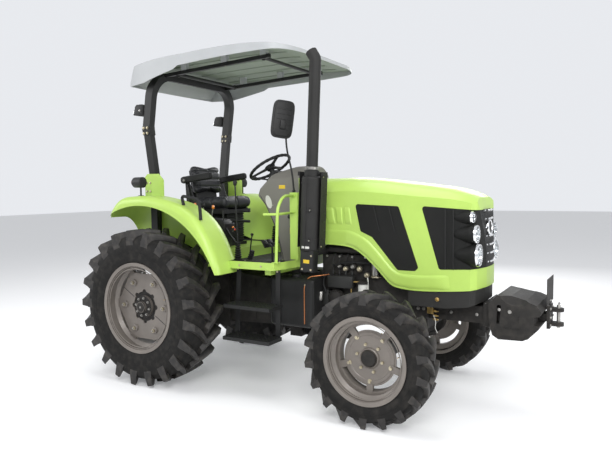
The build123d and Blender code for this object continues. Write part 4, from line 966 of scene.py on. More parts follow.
@dataclass(frozen=True)
class Nose:
    """Lamps, grille bars, the blank round badge and the window screens' ribs."""

    bars: int = 7
    bar_top: float = 1.56
    bar_step: float = 0.066
    bar_half: float = 0.165
    bar_radius: float = 0.015
    bar_taper: float = 0.008
    badge: Point = (2.85, 0, 1.432)
    badge_way: Point = (1, 0, 0.08)
    screen: float = 0.3225

    def build(self) -> None:
        """Builds the lamps, the bars and the ribs."""
        self._lamps()
        self._bars()
        self._trim()

    def _lamps(self) -> None:
        """Reflector bowls, projector bulbs, clear lenses and bright bezels."""
        shape = Shaper("headlamp_units")
        glass = Shaper("headlamp_lenses").use(GLASS)
        for lamp in LAMPS:
            x, y, z, r = lamp.x, lamp.y, lamp.z, lamp.r
            shape.use(CHROME)
            shape.lathe([(-0.034, r + 0.0015), (-0.028, r + 0.004), (-0.01, r + 0.005), (0.01, r + 0.0035),
                (0.017, r - 0.002), (0.016, r - 0.008), (0.002, r - 0.011), (-0.034, r - 0.012)], (x, y, z),
                ALONG_X, seg=56)
            bowl = [(0.002, r - 0.01), (-0.01, 0.86 * (r - 0.01)), (-0.02, 0.62 * (r - 0.01)),
                (-0.028, 0.34 * (r - 0.01)), (-0.03, 0.0)]
            shape.lathe(bowl, (x, y, z), ALONG_X, seg=40, closed=False)
            shape.use(LENS).sphere((x - 0.01, y, z), 0.36 * r, (0.8, 1, 1), seg=18)
            shape.use(CHROME).ring((x - 0.004, y, z), ALONG_X, 0.42 * r, 0.003, 32, 8)
            shape.ring((x + 0.002, y, z), ALONG_X, 0.7 * r, 0.0022, 36, 8)
            glass.lathe([(0.01, r - 0.008), (0.021, 0.8 * r), (0.029, 0.5 * r), (0.0325, 0.0), (0.0295, 0.0),
                (0.026, 0.5 * r), (0.018, 0.8 * r), (0.007, r - 0.008)], (x, y, z), ALONG_X, seg=48)
        shape.mirror()
        glass.mirror()
        obj = shape.make("hood")
        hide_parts("headlamps")
        glass.make("hood")

    def _bars(self) -> None:
        """Dark bars with bright inlays across the nose between the lamps, and a blank round badge."""
        shape = Shaper("grille_bars")
        for k in range(self.bars):
            z = self.bar_top - self.bar_step * k
            x = 2.842 + (self.bar_top - z) * 0.05
            half = self.bar_half - self.bar_taper * k
            points = [(x - 0.04, -half, z), (x - 0.006, -half * 0.6, z), (x, 0, z),
                (x - 0.006, half * 0.6, z), (x - 0.04, half, z)]
            shape.use(BLACK).tube(points, self.bar_radius, 0.05, 12)
            for y in (-0.62, -0.2, 0.2, 0.62):
                if abs(z - self.badge[2]) > 0.05 or abs(y) > 0.5:
                    at = x - 0.0105 * (abs(y) > 0.5) + 0.009
                    shape.use(CHROME).tube([(at, half * y - 0.026, z + 0.004),
                        (at, half * y + 0.026, z + 0.004)], 0.0075, seg=10)
        shape.use(CHROME).lathe([(0.0, 0.066), (0.01, 0.064), (0.014, 0.055), (0.008, 0.05), (0.0, 0.05)],
            self.badge, self.badge_way, seg=48)
        shape.use(SKIRT).lathe([(0.0, 0.052), (0.007, 0.05), (0.0105, 0.03), (0.0115, 0.0), (0.0, 0.0)],
            self.badge, self.badge_way, 40, False)
        shape.make("hood")

    def _trim(self) -> None:
        """Thin ribs behind the window screens."""
        shape = Shaper("screen_ribs").use(BLACK)
        for sign in (1, -1):
            y = self.screen * sign
            for x in (2.01, 2.14):
                shape.tube([(x, y, 1.6), (x + 0.05, y, 1.4)], 0.003, seg=8)
            shape.tube([(2.6, y, 1.12), (2.6, y, 1.58)], 0.0045, seg=8)
            shape.tube([(2.66, 0.318 * sign, 1.12), (2.66, 0.318 * sign, 1.58)], 0.004, seg=8)
        shape.make("hood")


@dataclass(frozen=True)
class Pad:
    """A stuffed pad.

    Args:
        centre: Its middle.
        size: Its length, width and thickness.
        lean: Its lean in degrees about y.
        corner: Rounding of its edges before it swells.
        cap: How far a point may move as it swells.
        fill: How full it is declared to be; not used.
    """

    centre: Point
    size: Point
    lean: float
    corner: float
    cap: float
    fill: float


@dataclass(frozen=True)
class Channel:
    """A sewn channel across a pad, at an offset along one of the pad's own axes.

    Args:
        along: Axis index that the offset is measured on.
        push: Axis index that the channel is pressed along.
        sign: Side of the pad that is pressed.
        at: Offset from the pad's middle.
        depth: How deep the channel is.
        width: Half width of the channel.
    """

    along: int
    push: int
    sign: int
    at: float
    depth: float
    width: float


@dataclass(frozen=True)
class Upholstery:
    """Inflates a rounded block into a stuffed pad and sews its channels."""

    name: str
    node: str
    pad: Pad
    channels: Sequence[Channel]
    voxel: float = 0.0065
    frames: int = 20
    slack: float = 0.018
    pressure: float = 4.0
    stiffness: float = 12.0

    def _start(self) -> bpy.types.Mesh:
        """Rounded block in the pad's own space, remeshed at an even size."""
        part = bmesh.new()
        bmesh.ops.create_cube(part, size=1.0)
        part.transform(Matrix.Diagonal((*[s - self.slack for s in self.pad.size], 1)))
        bmesh.ops.bevel(part, geom=part.edges[:], offset=self.pad.corner, segments=5, affect="EDGES",
            profile=0.5)
        mesh = bpy.data.meshes.new(self.name)
        part.to_mesh(mesh)
        part.free()
        obj = link("pad_host", mesh)
        remesh = obj.modifiers.new("remesh", "REMESH")
        remesh.mode = "VOXEL"
        remesh.voxel_size = self.voxel
        return bake(obj)

    def _inflate(self, mesh: bpy.types.Mesh) -> bpy.types.Mesh:
        """Swells the pad by cloth pressure, with its travel capped.

        Args:
            mesh: The rounded block.

        Returns:
            The swollen mesh, inside the pad's own box.
        """
        rest = [v.co.copy() for v in mesh.vertices]
        obj = link("pad_host", mesh)
        cloth = obj.modifiers.new("cloth", "CLOTH").settings
        cloth.quality = 4
        cloth.mass = 0.4
        cloth.tension_stiffness = self.stiffness
        cloth.compression_stiffness = self.stiffness
        cloth.use_pressure = True
        cloth.uniform_pressure_force = self.pressure
        cloth.effector_weights.gravity = 0.0
        scene = bpy.context.scene
        for frame in range(1, self.frames + 1):
            scene.frame_set(frame)
        swollen = bake(obj)
        scene.frame_set(1)
        half = Vector(self.pad.size) / 2
        for vert, start in zip(swollen.vertices, rest):
            move = vert.co - start
            if move.length > self.pad.cap:
                move *= self.pad.cap / move.length
            spot = start + move
            vert.co = Vector([max(-half[i], min(half[i], spot[i])) for i in range(3)])
        return swollen

    def _sew(self, mesh: bpy.types.Mesh) -> None:
        """Presses the sewn channels into the pad's faces."""
        for vert in mesh.vertices:
            for c in self.channels:
                if vert.co[c.push] * c.sign <= 0:
                    continue
                away = (vert.co[c.along] - c.at) / c.width
                vert.co[c.push] -= c.sign * c.depth * math.exp(-away * away)

    def build(self) -> bpy.types.Object:
        mesh = self._start()
        mesh = self._inflate(mesh)
        self._sew(mesh)
        lean = Matrix.Rotation(math.radians(self.pad.lean), 4, "Y")
        mesh.transform(Matrix.Translation(Vector(self.pad.centre) + Vector((SHIFT_X, 0, 0))) @ lean)
        mesh.name = self.name
        mesh.materials.clear()
        mesh.materials.append(PAINTS.get(VINYL))
        soften(mesh)
        obj = link(self.name, mesh)
        smooth = obj.modifiers.new("smooth", "SUBSURF")
        smooth.levels = 1
        smooth.render_levels = 1
        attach(obj, "chassis")
        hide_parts(self.node)
        LOG.info("%s: %d faces", self.name, len(mesh.polygons))
        return obj


@dataclass(frozen=True)
class Seat:
    """Cushion, backrest, arm pads, folded suspension boot and the side console."""

    cushion: Pad = Pad((0.244, 0.0, 1.618), (0.388, 0.47, 0.122), -3.0, 0.042, 0.022, 0.75)
    back: Pad = Pad((0.01, 0.0, 1.85), (0.104, 0.44, 0.298), -9.0, 0.045, 0.022, 0.75)
    hinge: Flat = (-0.01, 1.842)
    folds: int = 12
    fold_step: float = 0.0235

    def build(self) -> None:
        """Builds both pads, the shell with its boot, and the console."""
        Upholstery("seat_backrest", "seat_back", self.back, self._channels(2, 0, 0.075, 0.165)).build()
        Upholstery("seat_pad", "seat_cushion", self.cushion, self._channels(0, 2, 0.1, 0.17)).build()
        self._shell()
        self._console()

    @staticmethod
    def _channels(along: int, push: int, step: float, edge: float) -> List[Channel]:
        """Three channels across a pad and one near each of its sides.

        Args:
            along: Axis that the three are spaced on.
            push: Axis that they are pressed along.
            step: Their spacing.
            edge: Offset of the two at the sides.

        Returns:
            The channels.
        """
        across = [Channel(along, push, 1, at, 0.009, 0.011) for at in (step, 0.0, -step)]
        return across + [Channel(1, push, 1, at, 0.007, 0.01) for at in (edge, -edge)]

    def _shell(self) -> None:
        """Moulded back shell, arm pads on their hinges, slides and the boot's folds."""
        shape = Shaper("seat_trim").use(BLACK)
        lean = turn((0.02, 0, 1.804), ALONG_Y, -9)
        shape.box((-0.046, -0.17, 1.66), (-0.03, 0.17, 1.955), 0.007, matrix=lean)
        for z in (1.72, 1.78, 1.84, 1.9):
            shape.box((-0.051, -0.15, z), (-0.042, 0.15, z + 0.012), 0.003, matrix=lean)
        for sign in (1, -1):
            slope = turn((-0.05, 0, 1.845), ALONG_Y, -6.5)
            shape.use(SOFT_BLACK).box((-0.072, sign * 0.272 - 0.028, 1.812),
                (0.318, sign * 0.272 + 0.028, 1.88), 0.024, matrix=slope)
            x, z = self.hinge
            shape.use(BLACK).rod((x, sign * 0.24, z), "y", sign * 0.305, 0.03, 28, 0.004)
            shape.use(STEEL).nut((x, sign * 0.305, z), "y", sign * 0.313, 0.01)
            shape.use(FRAME).tube([(0.02, sign * 0.262, 1.6), (0.025, sign * 0.275, 1.7),
                (0.0, sign * 0.272, 1.8)], 0.011, 0.05)
        shape.use(FRAME)
        for sign in (1, -1):
            shape.box((-0.01, sign * 0.165 - 0.018, 1.548), (0.4, sign * 0.165 + 0.018, 1.566), 0.003)
        fold = Shaper("fold").use(SOFT_BLACK)
        fold.box((-0.15, -0.14, -0.009), (0.15, 0.14, 0.009), 0.008)
        Repeater.add(shape, fold, SOFT_BLACK, self.folds, step_move=(0, 0, self.fold_step),
            centre=(0.23, 0, 1.246))
        shape.use(FRAME).tube([(0.36, 0.05, 1.54), (0.43, 0.05, 1.532), (0.45, 0.12, 1.53)], 0.006, 0.02)
        shape.use(BLACK).sphere((0.45, 0.125, 1.53), 0.013)
        shape.make("chassis")

    def _console(self) -> None:
        """Dark console beside the seat with its slots and short hand levers."""
        shape = Shaper("side_console").use(BLACK)
        outline = [(-0.02, 1.204), (0.55, 1.204), (0.585, 1.34), (0.6, 1.435), (0.54, 1.475), (0.2, 1.5),
            (-0.02, 1.485)]
        shape.prism(outline, -0.45, -0.3, bevel=0.012)
        shape.use(SOFT_BLACK).prism([(0.02, 1.488), (0.5, 1.47), (0.5, 1.48), (0.02, 1.504)], -0.435, -0.315,
            bevel=0.003)
        for x, lift, finish in ((0.16, 0.1, AMBER), (0.27, 0.1, BLACK), (0.38, 0.09, AMBER)):
            z = 1.497 - 0.05 * (x - 0.16)
            shape.use(BLACK).box((x - 0.045, -0.382, z), (x + 0.045, -0.366, z + 0.004), 0.001)
            shape.use(STEEL).cyl((x, -0.374, z - 0.01), (x + 0.02, -0.374, z + lift), 0.005, seg=12)
            shape.use(finish).sphere((x + 0.022, -0.374, z + lift + 0.01), 0.016, (1, 0.8, 1.25))
        shape.use(FRAME).tube([(0.4, -0.3, 1.455), (0.56, -0.285, 1.462), (0.74, -0.28, 1.455)], 0.0085, 0.08)
        shape.use(BLACK).tube([(0.66, -0.2815, 1.458), (0.75, -0.28, 1.454)], 0.013)
        for x, z, finish in ((0.6, 1.4, AMBER), (0.622, 1.38, RED)):
            shape.use(STEEL).cyl((x - 0.03, -0.335, z - 0.02), (x, -0.335, z), 0.004, seg=10)
            shape.use(finish).sphere((x, -0.335, z), 0.011)
        shape.make("chassis")


@dataclass(frozen=True)
class Station:
    """Wheel, levers, pedals, rails, cowl dress, mat, the platform's edge and the mirror."""

    wheel_spot: Point = (0.8, 0.0, 1.955)
    wheel_tilt: float = 32.0
    wheel_radius: float = 0.205
    grip: float = 0.0142
    swells: int = 24
    deck: float = 1.1413
    rail_y: float = 0.3983
    cowl_y: float = 0.2222
    ribs: int = 14
    rib_step: float = 0.034

    def build(self) -> None:
        """Builds every piece of the station."""
        self._wheel()
        self._levers()
        self._rails()
        self._cowl()
        self._floor()
        self._mirror()

    def _wheel(self) -> None:
        """Rim with finger swells, three tapered spokes and a domed hub cap."""
        shape = Shaper("steering_rim").use(SOFT_BLACK)
        lean = Matrix.Translation(self.wheel_spot) @ Matrix.Rotation(math.radians(-self.wheel_tilt), 4, "Y")
        part = bmesh.new()
        rings = []
        for k, (c, d) in enumerate(circle(96)):
            small = self.grip + 0.0011 * math.cos(self.swells * 2 * math.pi * k / 96)
            rings.append([part.verts.new(((self.wheel_radius + u) * c, (self.wheel_radius + u) * d, v)) for u,
                v in circle(12, small)])
        for low, high in zip(rings, rings[1:] + rings[:1]):
            strip(part, low, high)
        shape.merge(part, lean)
        for k in range(3):
            spin = lean @ Matrix.Rotation(math.radians(90 + 120 * k), 4, "Z")
            shape.prism([(0.03, -0.024), (0.11, -0.015), (0.198, -0.012), (0.198, 0.012), (0.11, 0.015),
                (0.03, 0.024)], -0.01, 0.006, "z", 0.004, matrix=spin)
        shape.lathe([(-0.026, 0.036), (0.002, 0.052), (0.012, 0.052), (0.017, 0.044), (0.02, 0.02),
            (0.021, 0.0), (-0.026, 0.0)], HERE, ALONG_Z, 48, False, matrix=lean)
        shape.use(BLACK).lathe([(0.018, 0.03), (0.0225, 0.028), (0.024, 0.0), (0.018, 0.0)], HERE, ALONG_Z,
            36, False, matrix=lean)
        obj = shape.make("steering_wheel")
        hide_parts("steering_wheel")

    def _levers(self) -> None:
        """Gear levers in ribbed boots, the reach-back lever, and pedals with ribbed pads."""
        shape = Shaper("hand_and_foot_controls")
        for x, y, z, top, lean in ((0.725, -0.43, 1.1, 1.812, -0.02), (0.64, 0.3, 1.2, 1.64, 0.06)):
            shape.use(BLACK).box((x - 0.05, y - 0.045, z + 0.0004), (x + 0.045, y + 0.045, z + 0.014), 0.005)
            shape.use(SOFT_BLACK)
            for i in range(8):
                at = z + 0.02 + 0.0205 * i
                r = 0.038 - 0.0022 * i
                shape.lathe([(-0.0085, r * 0.72), (0.0, r), (0.0085, r * 0.72), (0.0085, 0.0),
                    (-0.0085, 0.0)], (x, y, at), ALONG_Z, 28, False)
            shape.use(FRAME).tube([(x, y, z + 0.16), (x + lean / 2, y, (z + top) / 2), (x + lean, y, top)],
                0.007, 0.08)
            shape.use(BLACK).lathe([(-0.03, 0.009), (-0.018, 0.016), (0.0, 0.0195), (0.012, 0.0165),
                (0.019, 0.008), (0.02, 0.0), (-0.03, 0.0)], (x + lean, y, top), ALONG_Z, 24, False)
        shape.use(FRAME).tube([(0.705, -0.43, 1.27), (0.64, -0.425, 1.335), (0.56, -0.42, 1.44),
            (0.548, -0.415, 1.56)], 0.0065, 0.05)
        shape.tube([(0.76, -0.3, 1.14), (0.775, -0.3, 1.25), (0.79, -0.3, 1.33)], 0.006, 0.05)
        shape.use(BLACK).sphere((0.79, -0.3, 1.335), 0.014)
        shape.use(SOFT_BLACK)
        for i in range(5):
            shape.lathe([(-0.008, 0.02), (0.0, 0.034 - 0.003 * i), (0.008, 0.02), (0.008, 0.0),
                (-0.008, 0.0)], (0.765 + 0.006 * i, -0.3, 1.112 + 0.017 * i), (0.3, 0, 1), 24, False)
        for x, y in ((0.975, -0.345), (0.975, -0.262), (0.975, 0.275)):
            shape.use(FRAME).tube([(1.04, y, 1.1004), (1.04, y, 1.25), (x, y, 1.262)], 0.0088, 0.04)
            tip = turn((x - 0.006, y, 1.262), ALONG_Y, -32)
            shape.box((x - 0.012, y - 0.036, 1.222), (x - 0.004, y + 0.036, 1.302), 0.003,
                matrix=tip)
            shape.use(SOFT_BLACK)
            for k in range(6):
                z = 1.224 + 0.0135 * k
                shape.box((x - 0.0165, y - 0.037, z), (x - 0.0105, y + 0.037, z + 0.009), 0.0025, matrix=tip)
        obj = shape.make("chassis")
        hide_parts("controls")

    def _rails(self) -> None:
        """Green grab rails at the front of the floor and dark bars on the fenders."""
        shape = Shaper("grab_rails")
        y, foot = self.rail_y, self.deck
        shape.use(GREEN)
        shape.tube([(1.3, y, 1.69), (1.302, 0.56, 1.69), (1.305, 0.655, 1.6), (1.292, 0.668, foot)], 0.013,
            0.06, 16)
        shape.tube([(1.3, y, 1.545), (1.3, 0.664, 1.54), (1.19, 0.684, 1.54)], 0.011, 0.03, 16)
        shape.sphere((1.19, 0.684, 1.54), 0.0115)
        shape.rod((1.3, y, 1.69), "y", y + 0.004, 0.022, seg=24)
        shape.rod((1.3, y, 1.545), "y", y + 0.004, 0.02, seg=24)
        shape.box((1.262, 0.64, foot), (1.322, 0.696, foot + 0.005), 0.0015)
        for x in (1.27, 1.314):
            shape.use(ZINC).nut((x, 0.652, foot + 0.005), "z", foot + 0.012, 0.006)
        shape.use(SOFT_BLACK)
        shape.tube([(0.424, 0.8, 1.618), (0.402, 0.8, 1.7), (0.6, 0.8, 1.665), (0.627, 0.8145, 1.492)],
            0.0138, 0.04, 16)
        shape.mirror()
        obj = shape.make("chassis")
        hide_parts("handrails")

    def _cowl(self) -> None:
        """Instrument cluster, switches, side levers, seams and blank labels of the cowl."""
        shape = Shaper("cowl_dress")
        tip = turn((0.9, 0, 1.845), ALONG_Y, -42)
        shape.use(BLACK).box((0.845, -0.145, 1.842), (0.985, 0.145, 1.872), 0.014, matrix=tip)
        for y, r in ((0.0, 0.046), (0.094, 0.03), (-0.094, 0.03)):
            shape.use(BLACK).lathe([(0.0, r), (0.009, r), (0.01, r - 0.004), (0.003, r - 0.006),
                (0.0, r - 0.006)], (0.915, y, 1.872), ALONG_Z, 36, matrix=tip)
            shape.use(LENS).lathe([(0.0, r - 0.006), (0.004, r - 0.006), (0.0042, 0.0), (0.0, 0.0)],
                (0.915, y, 1.872), ALONG_Z, 32, False, matrix=tip)
        for y in (-0.05, -0.02, 0.02, 0.05):
            shape.use(SOFT_BLACK).box((0.856, y - 0.01, 1.87), (0.872, y + 0.01, 1.88), 0.002, matrix=tip)
        shape.use(BLACK).tube([(0.872, 0.1, 1.835), (0.8, 0.2, 1.85), (0.76, 0.255, 1.87)], 0.0075, 0.03)
        shape.tube([(0.735, 0.285, 1.8825), (0.765, 0.25, 1.868)], 0.0125)
        shape.tube([(0.872, -0.1, 1.835), (0.81, -0.17, 1.842), (0.775, -0.215, 1.856)], 0.007, 0.03)
        shape.sphere((0.775, -0.218, 1.857), 0.013)
        shape.use(STEEL).cyl((0.838, -0.15, 1.742), (0.826, -0.152, 1.75), 0.012, 20, 0.002)
        shape.use(CHROME).ring((0.8263, -0.152, 1.75), (-0.8, 0, 0.55), 0.0125, 0.0015, 24, 6)
        for sign in (1, -1):
            y = self.cowl_y * sign
            shape.use(BLACK)
            points = [(1.07, y, 1.1), (0.998, y, 1.372), (0.885, y, 1.6), (0.822, y, 1.69)]
            shape.tube([(p[0] + 0.014, p[1] - 0.001 * sign, p[2]) for p in points], 0.0025, 0.03, 6)
            for x, z in ((1.2, 1.2), (1.2, 1.52), (0.97, 1.6), (1.26, 1.78)):
                shape.use(STEEL).rod((x, y - 0.003 * sign, z), "y", y + 0.003 * sign, 0.007, 14, 0.001)
        y = -self.cowl_y
        shape.use(LABEL).prism(self._oval(0.927, 1.632, 0.03, 0.062, -0.32), y - 0.0012, y)
        shape.use(YELLOW).box((1.04, y - 0.0012, 1.75), (1.106, y, 1.782), 0.0004)
        shape.box((1.15, y - 0.0012, 1.345), (1.184, y, 1.402), 0.0004)
        shape.use(BLACK).rod((1.15, y - 0.012, 1.5), "y", y, 0.018, 24, 0.003)
        shape.rod((1.246, y - 0.006, 1.15), "y", y, 0.02, 24, 0.002)
        shape.make("chassis")

    @staticmethod
    def _oval(x: float, z: float, a: float, b: float, lean: float, count: int = 28) -> List[Flat]:
        """Outline of a leaning oval.

        Args:
            x: Its middle ahead.
            z: Its middle up.
            a: Half its width.
            b: Half its height.
            lean: Its lean in radians.
            count: Points round it.

        Returns:
            The outline.
        """
        c, d = math.cos(lean), math.sin(lean)
        return [(x + a * u * c + b * v * d, z - a * u * d + b * v * c) for u, v in circle(count)]

    def _floor(self) -> None:
        """Rubber mat, deck bolts and the rubber strip at the platform's lip."""
        shape = Shaper("floor_dress").use(FLOOR_MAT)
        mat = [(0.64, -0.46), (0.7, -0.65), (1.255, -0.65), (1.3, -0.41), (1.3, -0.235), (1.06, -0.235),
            (1.0, -0.12), (1.0, 0.12), (1.06, 0.235), (1.3, 0.235), (1.3, 0.41), (1.255, 0.65), (0.7, 0.65),
            (0.64, 0.46)]
        shape.prism(mat, 1.1001, 1.105, "z", 0.0015)
        for near, far in ((-0.6, -0.34), (0.34, 0.6)):
            rib = Shaper("rib").use(FLOOR_MAT).box((0, near, 0), (0.007, far, 0.0022), 0.0008)
            Repeater.add(shape, rib, FLOOR_MAT, self.ribs, step_move=(self.rib_step, 0, 0),
                centre=(0.72, 0, 1.1048))
        for sign in (1, -1):
            for x, z in ((0.72, 1.108), (0.94, 1.108), (1.16, 1.108)):
                shape.use(ZINC).nut((x, sign * 0.7, z), "y", sign * 0.7065, 0.0075)
            for x in (0.66, 0.78):
                shape.use(ZINC).nut((x, sign * 0.4, 1.1002), "z", 1.108, 0.008)
            for x in (-0.3, 0.5):
                shape.use(ZINC).nut((x, sign * 0.4, 1.2002), "z", 1.208, 0.009)
            shape.use(BLACK).box((-0.3, sign * 0.47 - 0.004, 1.2002), (0.58, sign * 0.47 + 0.004, 1.212),
                0.002)
        shape.make("chassis")

    def _mirror(self) -> None:
        """Mirror head with its glass and ribbed back on a bent stalk, and the stalk's clamps."""
        shape = Shaper("mirror_head").use(BLACK)
        place = Matrix.Translation((1.262, -0.487, 2.33)) @ Matrix.Rotation(math.radians(-46), 4,
            "Z") @ Matrix.Rotation(math.radians(-8), 4, "X")
        outline = [(0.092 * math.copysign(abs(c) ** 0.42, c), 0.158 * math.copysign(abs(d) ** 0.36, d)) for c,
            d in circle(40)]
        small = [(0.84 * y, 0.9 * z) for y, z in outline]
        shape.prism(outline, -0.022, 0.01, "x", 0.006, matrix=place)
        shape.prism(small, 0.004, 0.023, "x", 0.009, matrix=place)
        for k in range(5):
            z = -0.085 + 0.042 * k
            shape.box((0.0222, -0.062, z - 0.0035), (0.025, 0.062, z + 0.0035), 0.0012, matrix=place)
        shape.box((0.018, -0.022, -0.085), (0.038, 0.022, -0.01), 0.005, matrix=place)
        shape.use(SILVERED).prism([(0.93 * y, 0.955 * z) for y, z in outline], -0.0232, -0.022, "x",
            matrix=place)
        shape.use(FRAME).tube([(1.3, -0.385, 1.7175), (1.29, -0.4, 1.9), (1.262, -0.44, 2.09),
            (1.268, -0.455, 2.3)], 0.008, 0.08, 14)
        shape.use(BLACK).cyl((1.3, -0.385, 1.7175), (1.298, -0.387, 1.738), 0.014, 20, 0.002)
        shape.cyl((1.266, -0.453, 2.262), (1.267, -0.455, 2.3), 0.012, 16, 0.002)
        obj = shape.make("chassis")
        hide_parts("mirror")


class Skin:
    """A CAD node's surface, to lay trim on it."""

    def __init__(self, obj: bpy.types.Object) -> None:
        """Reads the node's mesh into a search tree."""
        part = bmesh.new()
        part.from_mesh(obj.data)
        part.transform(obj.matrix_world)
        self.tree = BVHTree.FromBMesh(part)
        part.free()

    def lay(self, starts: Sequence[Point], way: Point) -> List[Point]:
        """Where rays meet the surface.

        Args:
            starts: Where the rays start.
            way: Their common direction.

        Returns:
            The points met, in order; a ray that misses leaves its point out.
        """
        out = []
        for start in starts:
            hit = self.tree.ray_cast(Vector(start) + Vector((SHIFT_X, 0, 0)), Vector(way).normalized())[0]
            if hit is not None:
                out.append((hit.x - SHIFT_X, hit.y, hit.z))
        return out


@dataclass(frozen=True)
class EngineBay:
    """What shows of the engine below and through the hood: pump, filters, fan, belts and pipes."""

    flank: float = 0.205
    pump: Flat = (1.629, 0.818)
    filter: Point = (1.883, -0.262, 0.952)
    rows: Sequence[float] = (1.52, 1.64, 1.76, 1.88, 2.0, 2.12, 2.24)
    ports: Sequence[float] = (1.58, 1.78, 1.98, 2.18)
    blades: int = 7
    fins: int = 60
    shaft: float = 1.18

    def build(self) -> None:
        """Builds the right side, the left side and the front."""
        self._right()
        self._left()
        self._front()

    def _right(self) -> None:
        """Injection pump and lines, filters, sensors, alternator, exhaust ports and pipes."""
        shape = Shaper("engine_right").use(ENGINE)
        y = -self.flank
        shape.box((1.56, y - 0.085, 0.905), (1.8, y - 0.002, 1.01), 0.012)
        for x in (1.6, 1.66, 1.72, 1.78):
            shape.use(FRAME).rod((x, y - 0.045, 1.005), "z", 1.05, 0.011, 16, 0.002)
            shape.tube([(x, y - 0.045, 1.045), (x, y - 0.05, 1.15), (x + 0.05, -0.15, 1.3),
                (x + 0.05, -0.12, 1.39)], 0.0035, 0.05, 8)
        shape.use(CASTING).lathe([(0, 0.0), (0, 0.062), (0.03, 0.07), (0.06, 0.058), (0.075, 0.03),
            (0.075, 0.0)], (self.pump[0], y - 0.015, self.pump[1]), (0, -1, 0), 40, False)
        ring = Shaper("fin").use(CASTING)
        ring.box((0.056, -0.105, -0.004), (0.068, -0.035, 0.004), 0.001)
        Repeater.add(shape, ring, CASTING, 14, step_turn=360 / 14, centre=(self.pump[0], y + 0.02,
            self.pump[1]))
        for x, z, r, finish in ((1.714, 1.066, 0.021, ZINC), (1.783, 1.087, 0.019, STEEL),
                (1.844, 1.07, 0.023, ZINC), (1.911, 1.023, 0.023, ZINC), (1.66, 1.085, 0.014, STEEL)):
            shape.use(finish).lathe([(0, 0.0), (0, r), (0.044, r), (0.05, r * 0.8), (0.056, r * 0.45),
                (0.058, 0.0)], (x, y - 0.002, z), (0, -1, 0), 28, False)
            shape.use(CASTING).rod((x, y - 0.001, z), "y", y - 0.03, r * 1.3, 28, 0.003)
            shape.use(finish).nut((x, y - 0.058, z), "y", y - 0.068, r * 0.42)
        shape.use(WHITE).lathe([(0.0, 0.0), (0.0, 0.032), (0.01, 0.038), (0.075, 0.04), (0.092, 0.034),
            (0.1, 0.018), (0.1, 0.0)], self.filter, (0, 0, -1), 36, False)
        shape.use(CASTING).lathe([(0.0, 0.0), (0.0, 0.044), (0.016, 0.044), (0.022, 0.03), (0.022, 0.0)],
            self.filter, ALONG_Z, 32, False)
        shape.box((1.86, -0.262, 0.955), (1.906, y, 0.972), 0.003)
        shape.use(BRASS).tube([(1.777, -0.262, 0.84), (1.777, -0.268, 0.962), (1.86, -0.268, 0.97)], 0.0055,
            0.03, 10)
        shape.use(WHITE).tube([(1.925, -0.25, 0.88), (1.925, -0.252, 0.99), (1.912, -0.24, 1.02)], 0.006,
            0.03, 10)
        shape.use(STEEL).rod((1.98, -0.225, 1.02), "z", 1.15, 0.03, 28, 0.005)
        shape.use(CASTING).rod((2.03, -0.215, 1.03), "z", 1.15, 0.014, 18, 0.003)
        shape.use(ZINC).rod((1.985, -0.222, 1.006), "z", 1.018, 0.042, 28, 0.003)
        shape.use(ENGINE).box((1.495, y - 0.06, 0.74), (1.56, y, 0.88), 0.01)
        shape.use(STEEL).lathe([(0, 0.0), (0, 0.02), (0.06, 0.02), (0.075, 0.013), (0.075, 0.0)],
            (1.495, -0.285, 0.858), (0.1, -0.3, -1), 24, False)
        shape.use(COPPER).tube([(1.42, -0.438, 0.6), (1.42, -0.438, 0.927), (1.44, -0.4, 1.0),
            (1.56, -0.25, 1.01)], 0.0045, 0.04, 10)
        for x in self.rows:
            shape.use(STEEL).nut((x, y, 1.165), "y", y - 0.01, 0.008)
            shape.nut((x, y, 0.715), "y", y - 0.009, 0.007)
        shape.use(SOFT_BLACK).tube([(1.59, y - 0.03, 1.09), (1.75, y - 0.05, 1.13), (1.95, y - 0.03, 1.12),
            (2.15, y - 0.02, 1.16), (2.26, -0.15, 1.1)], 0.009, 0.06, 10)
        shape.tube([(1.52, y - 0.02, 1.02), (1.5, y - 0.05, 0.94), (1.54, y - 0.07, 0.86)],
            0.011, 0.05, 10)
        for x in self.ports:
            shape.use(CASTING).tube([(x, -0.165, 1.33), (x, -0.215, 1.32), (x - 0.02, -0.235, 1.235)], 0.024,
                0.05, 16)
        shape.tube([(1.54, -0.238, 1.232), (2.2, -0.238, 1.232)], 0.03, seg=20)
        shape.make("chassis")

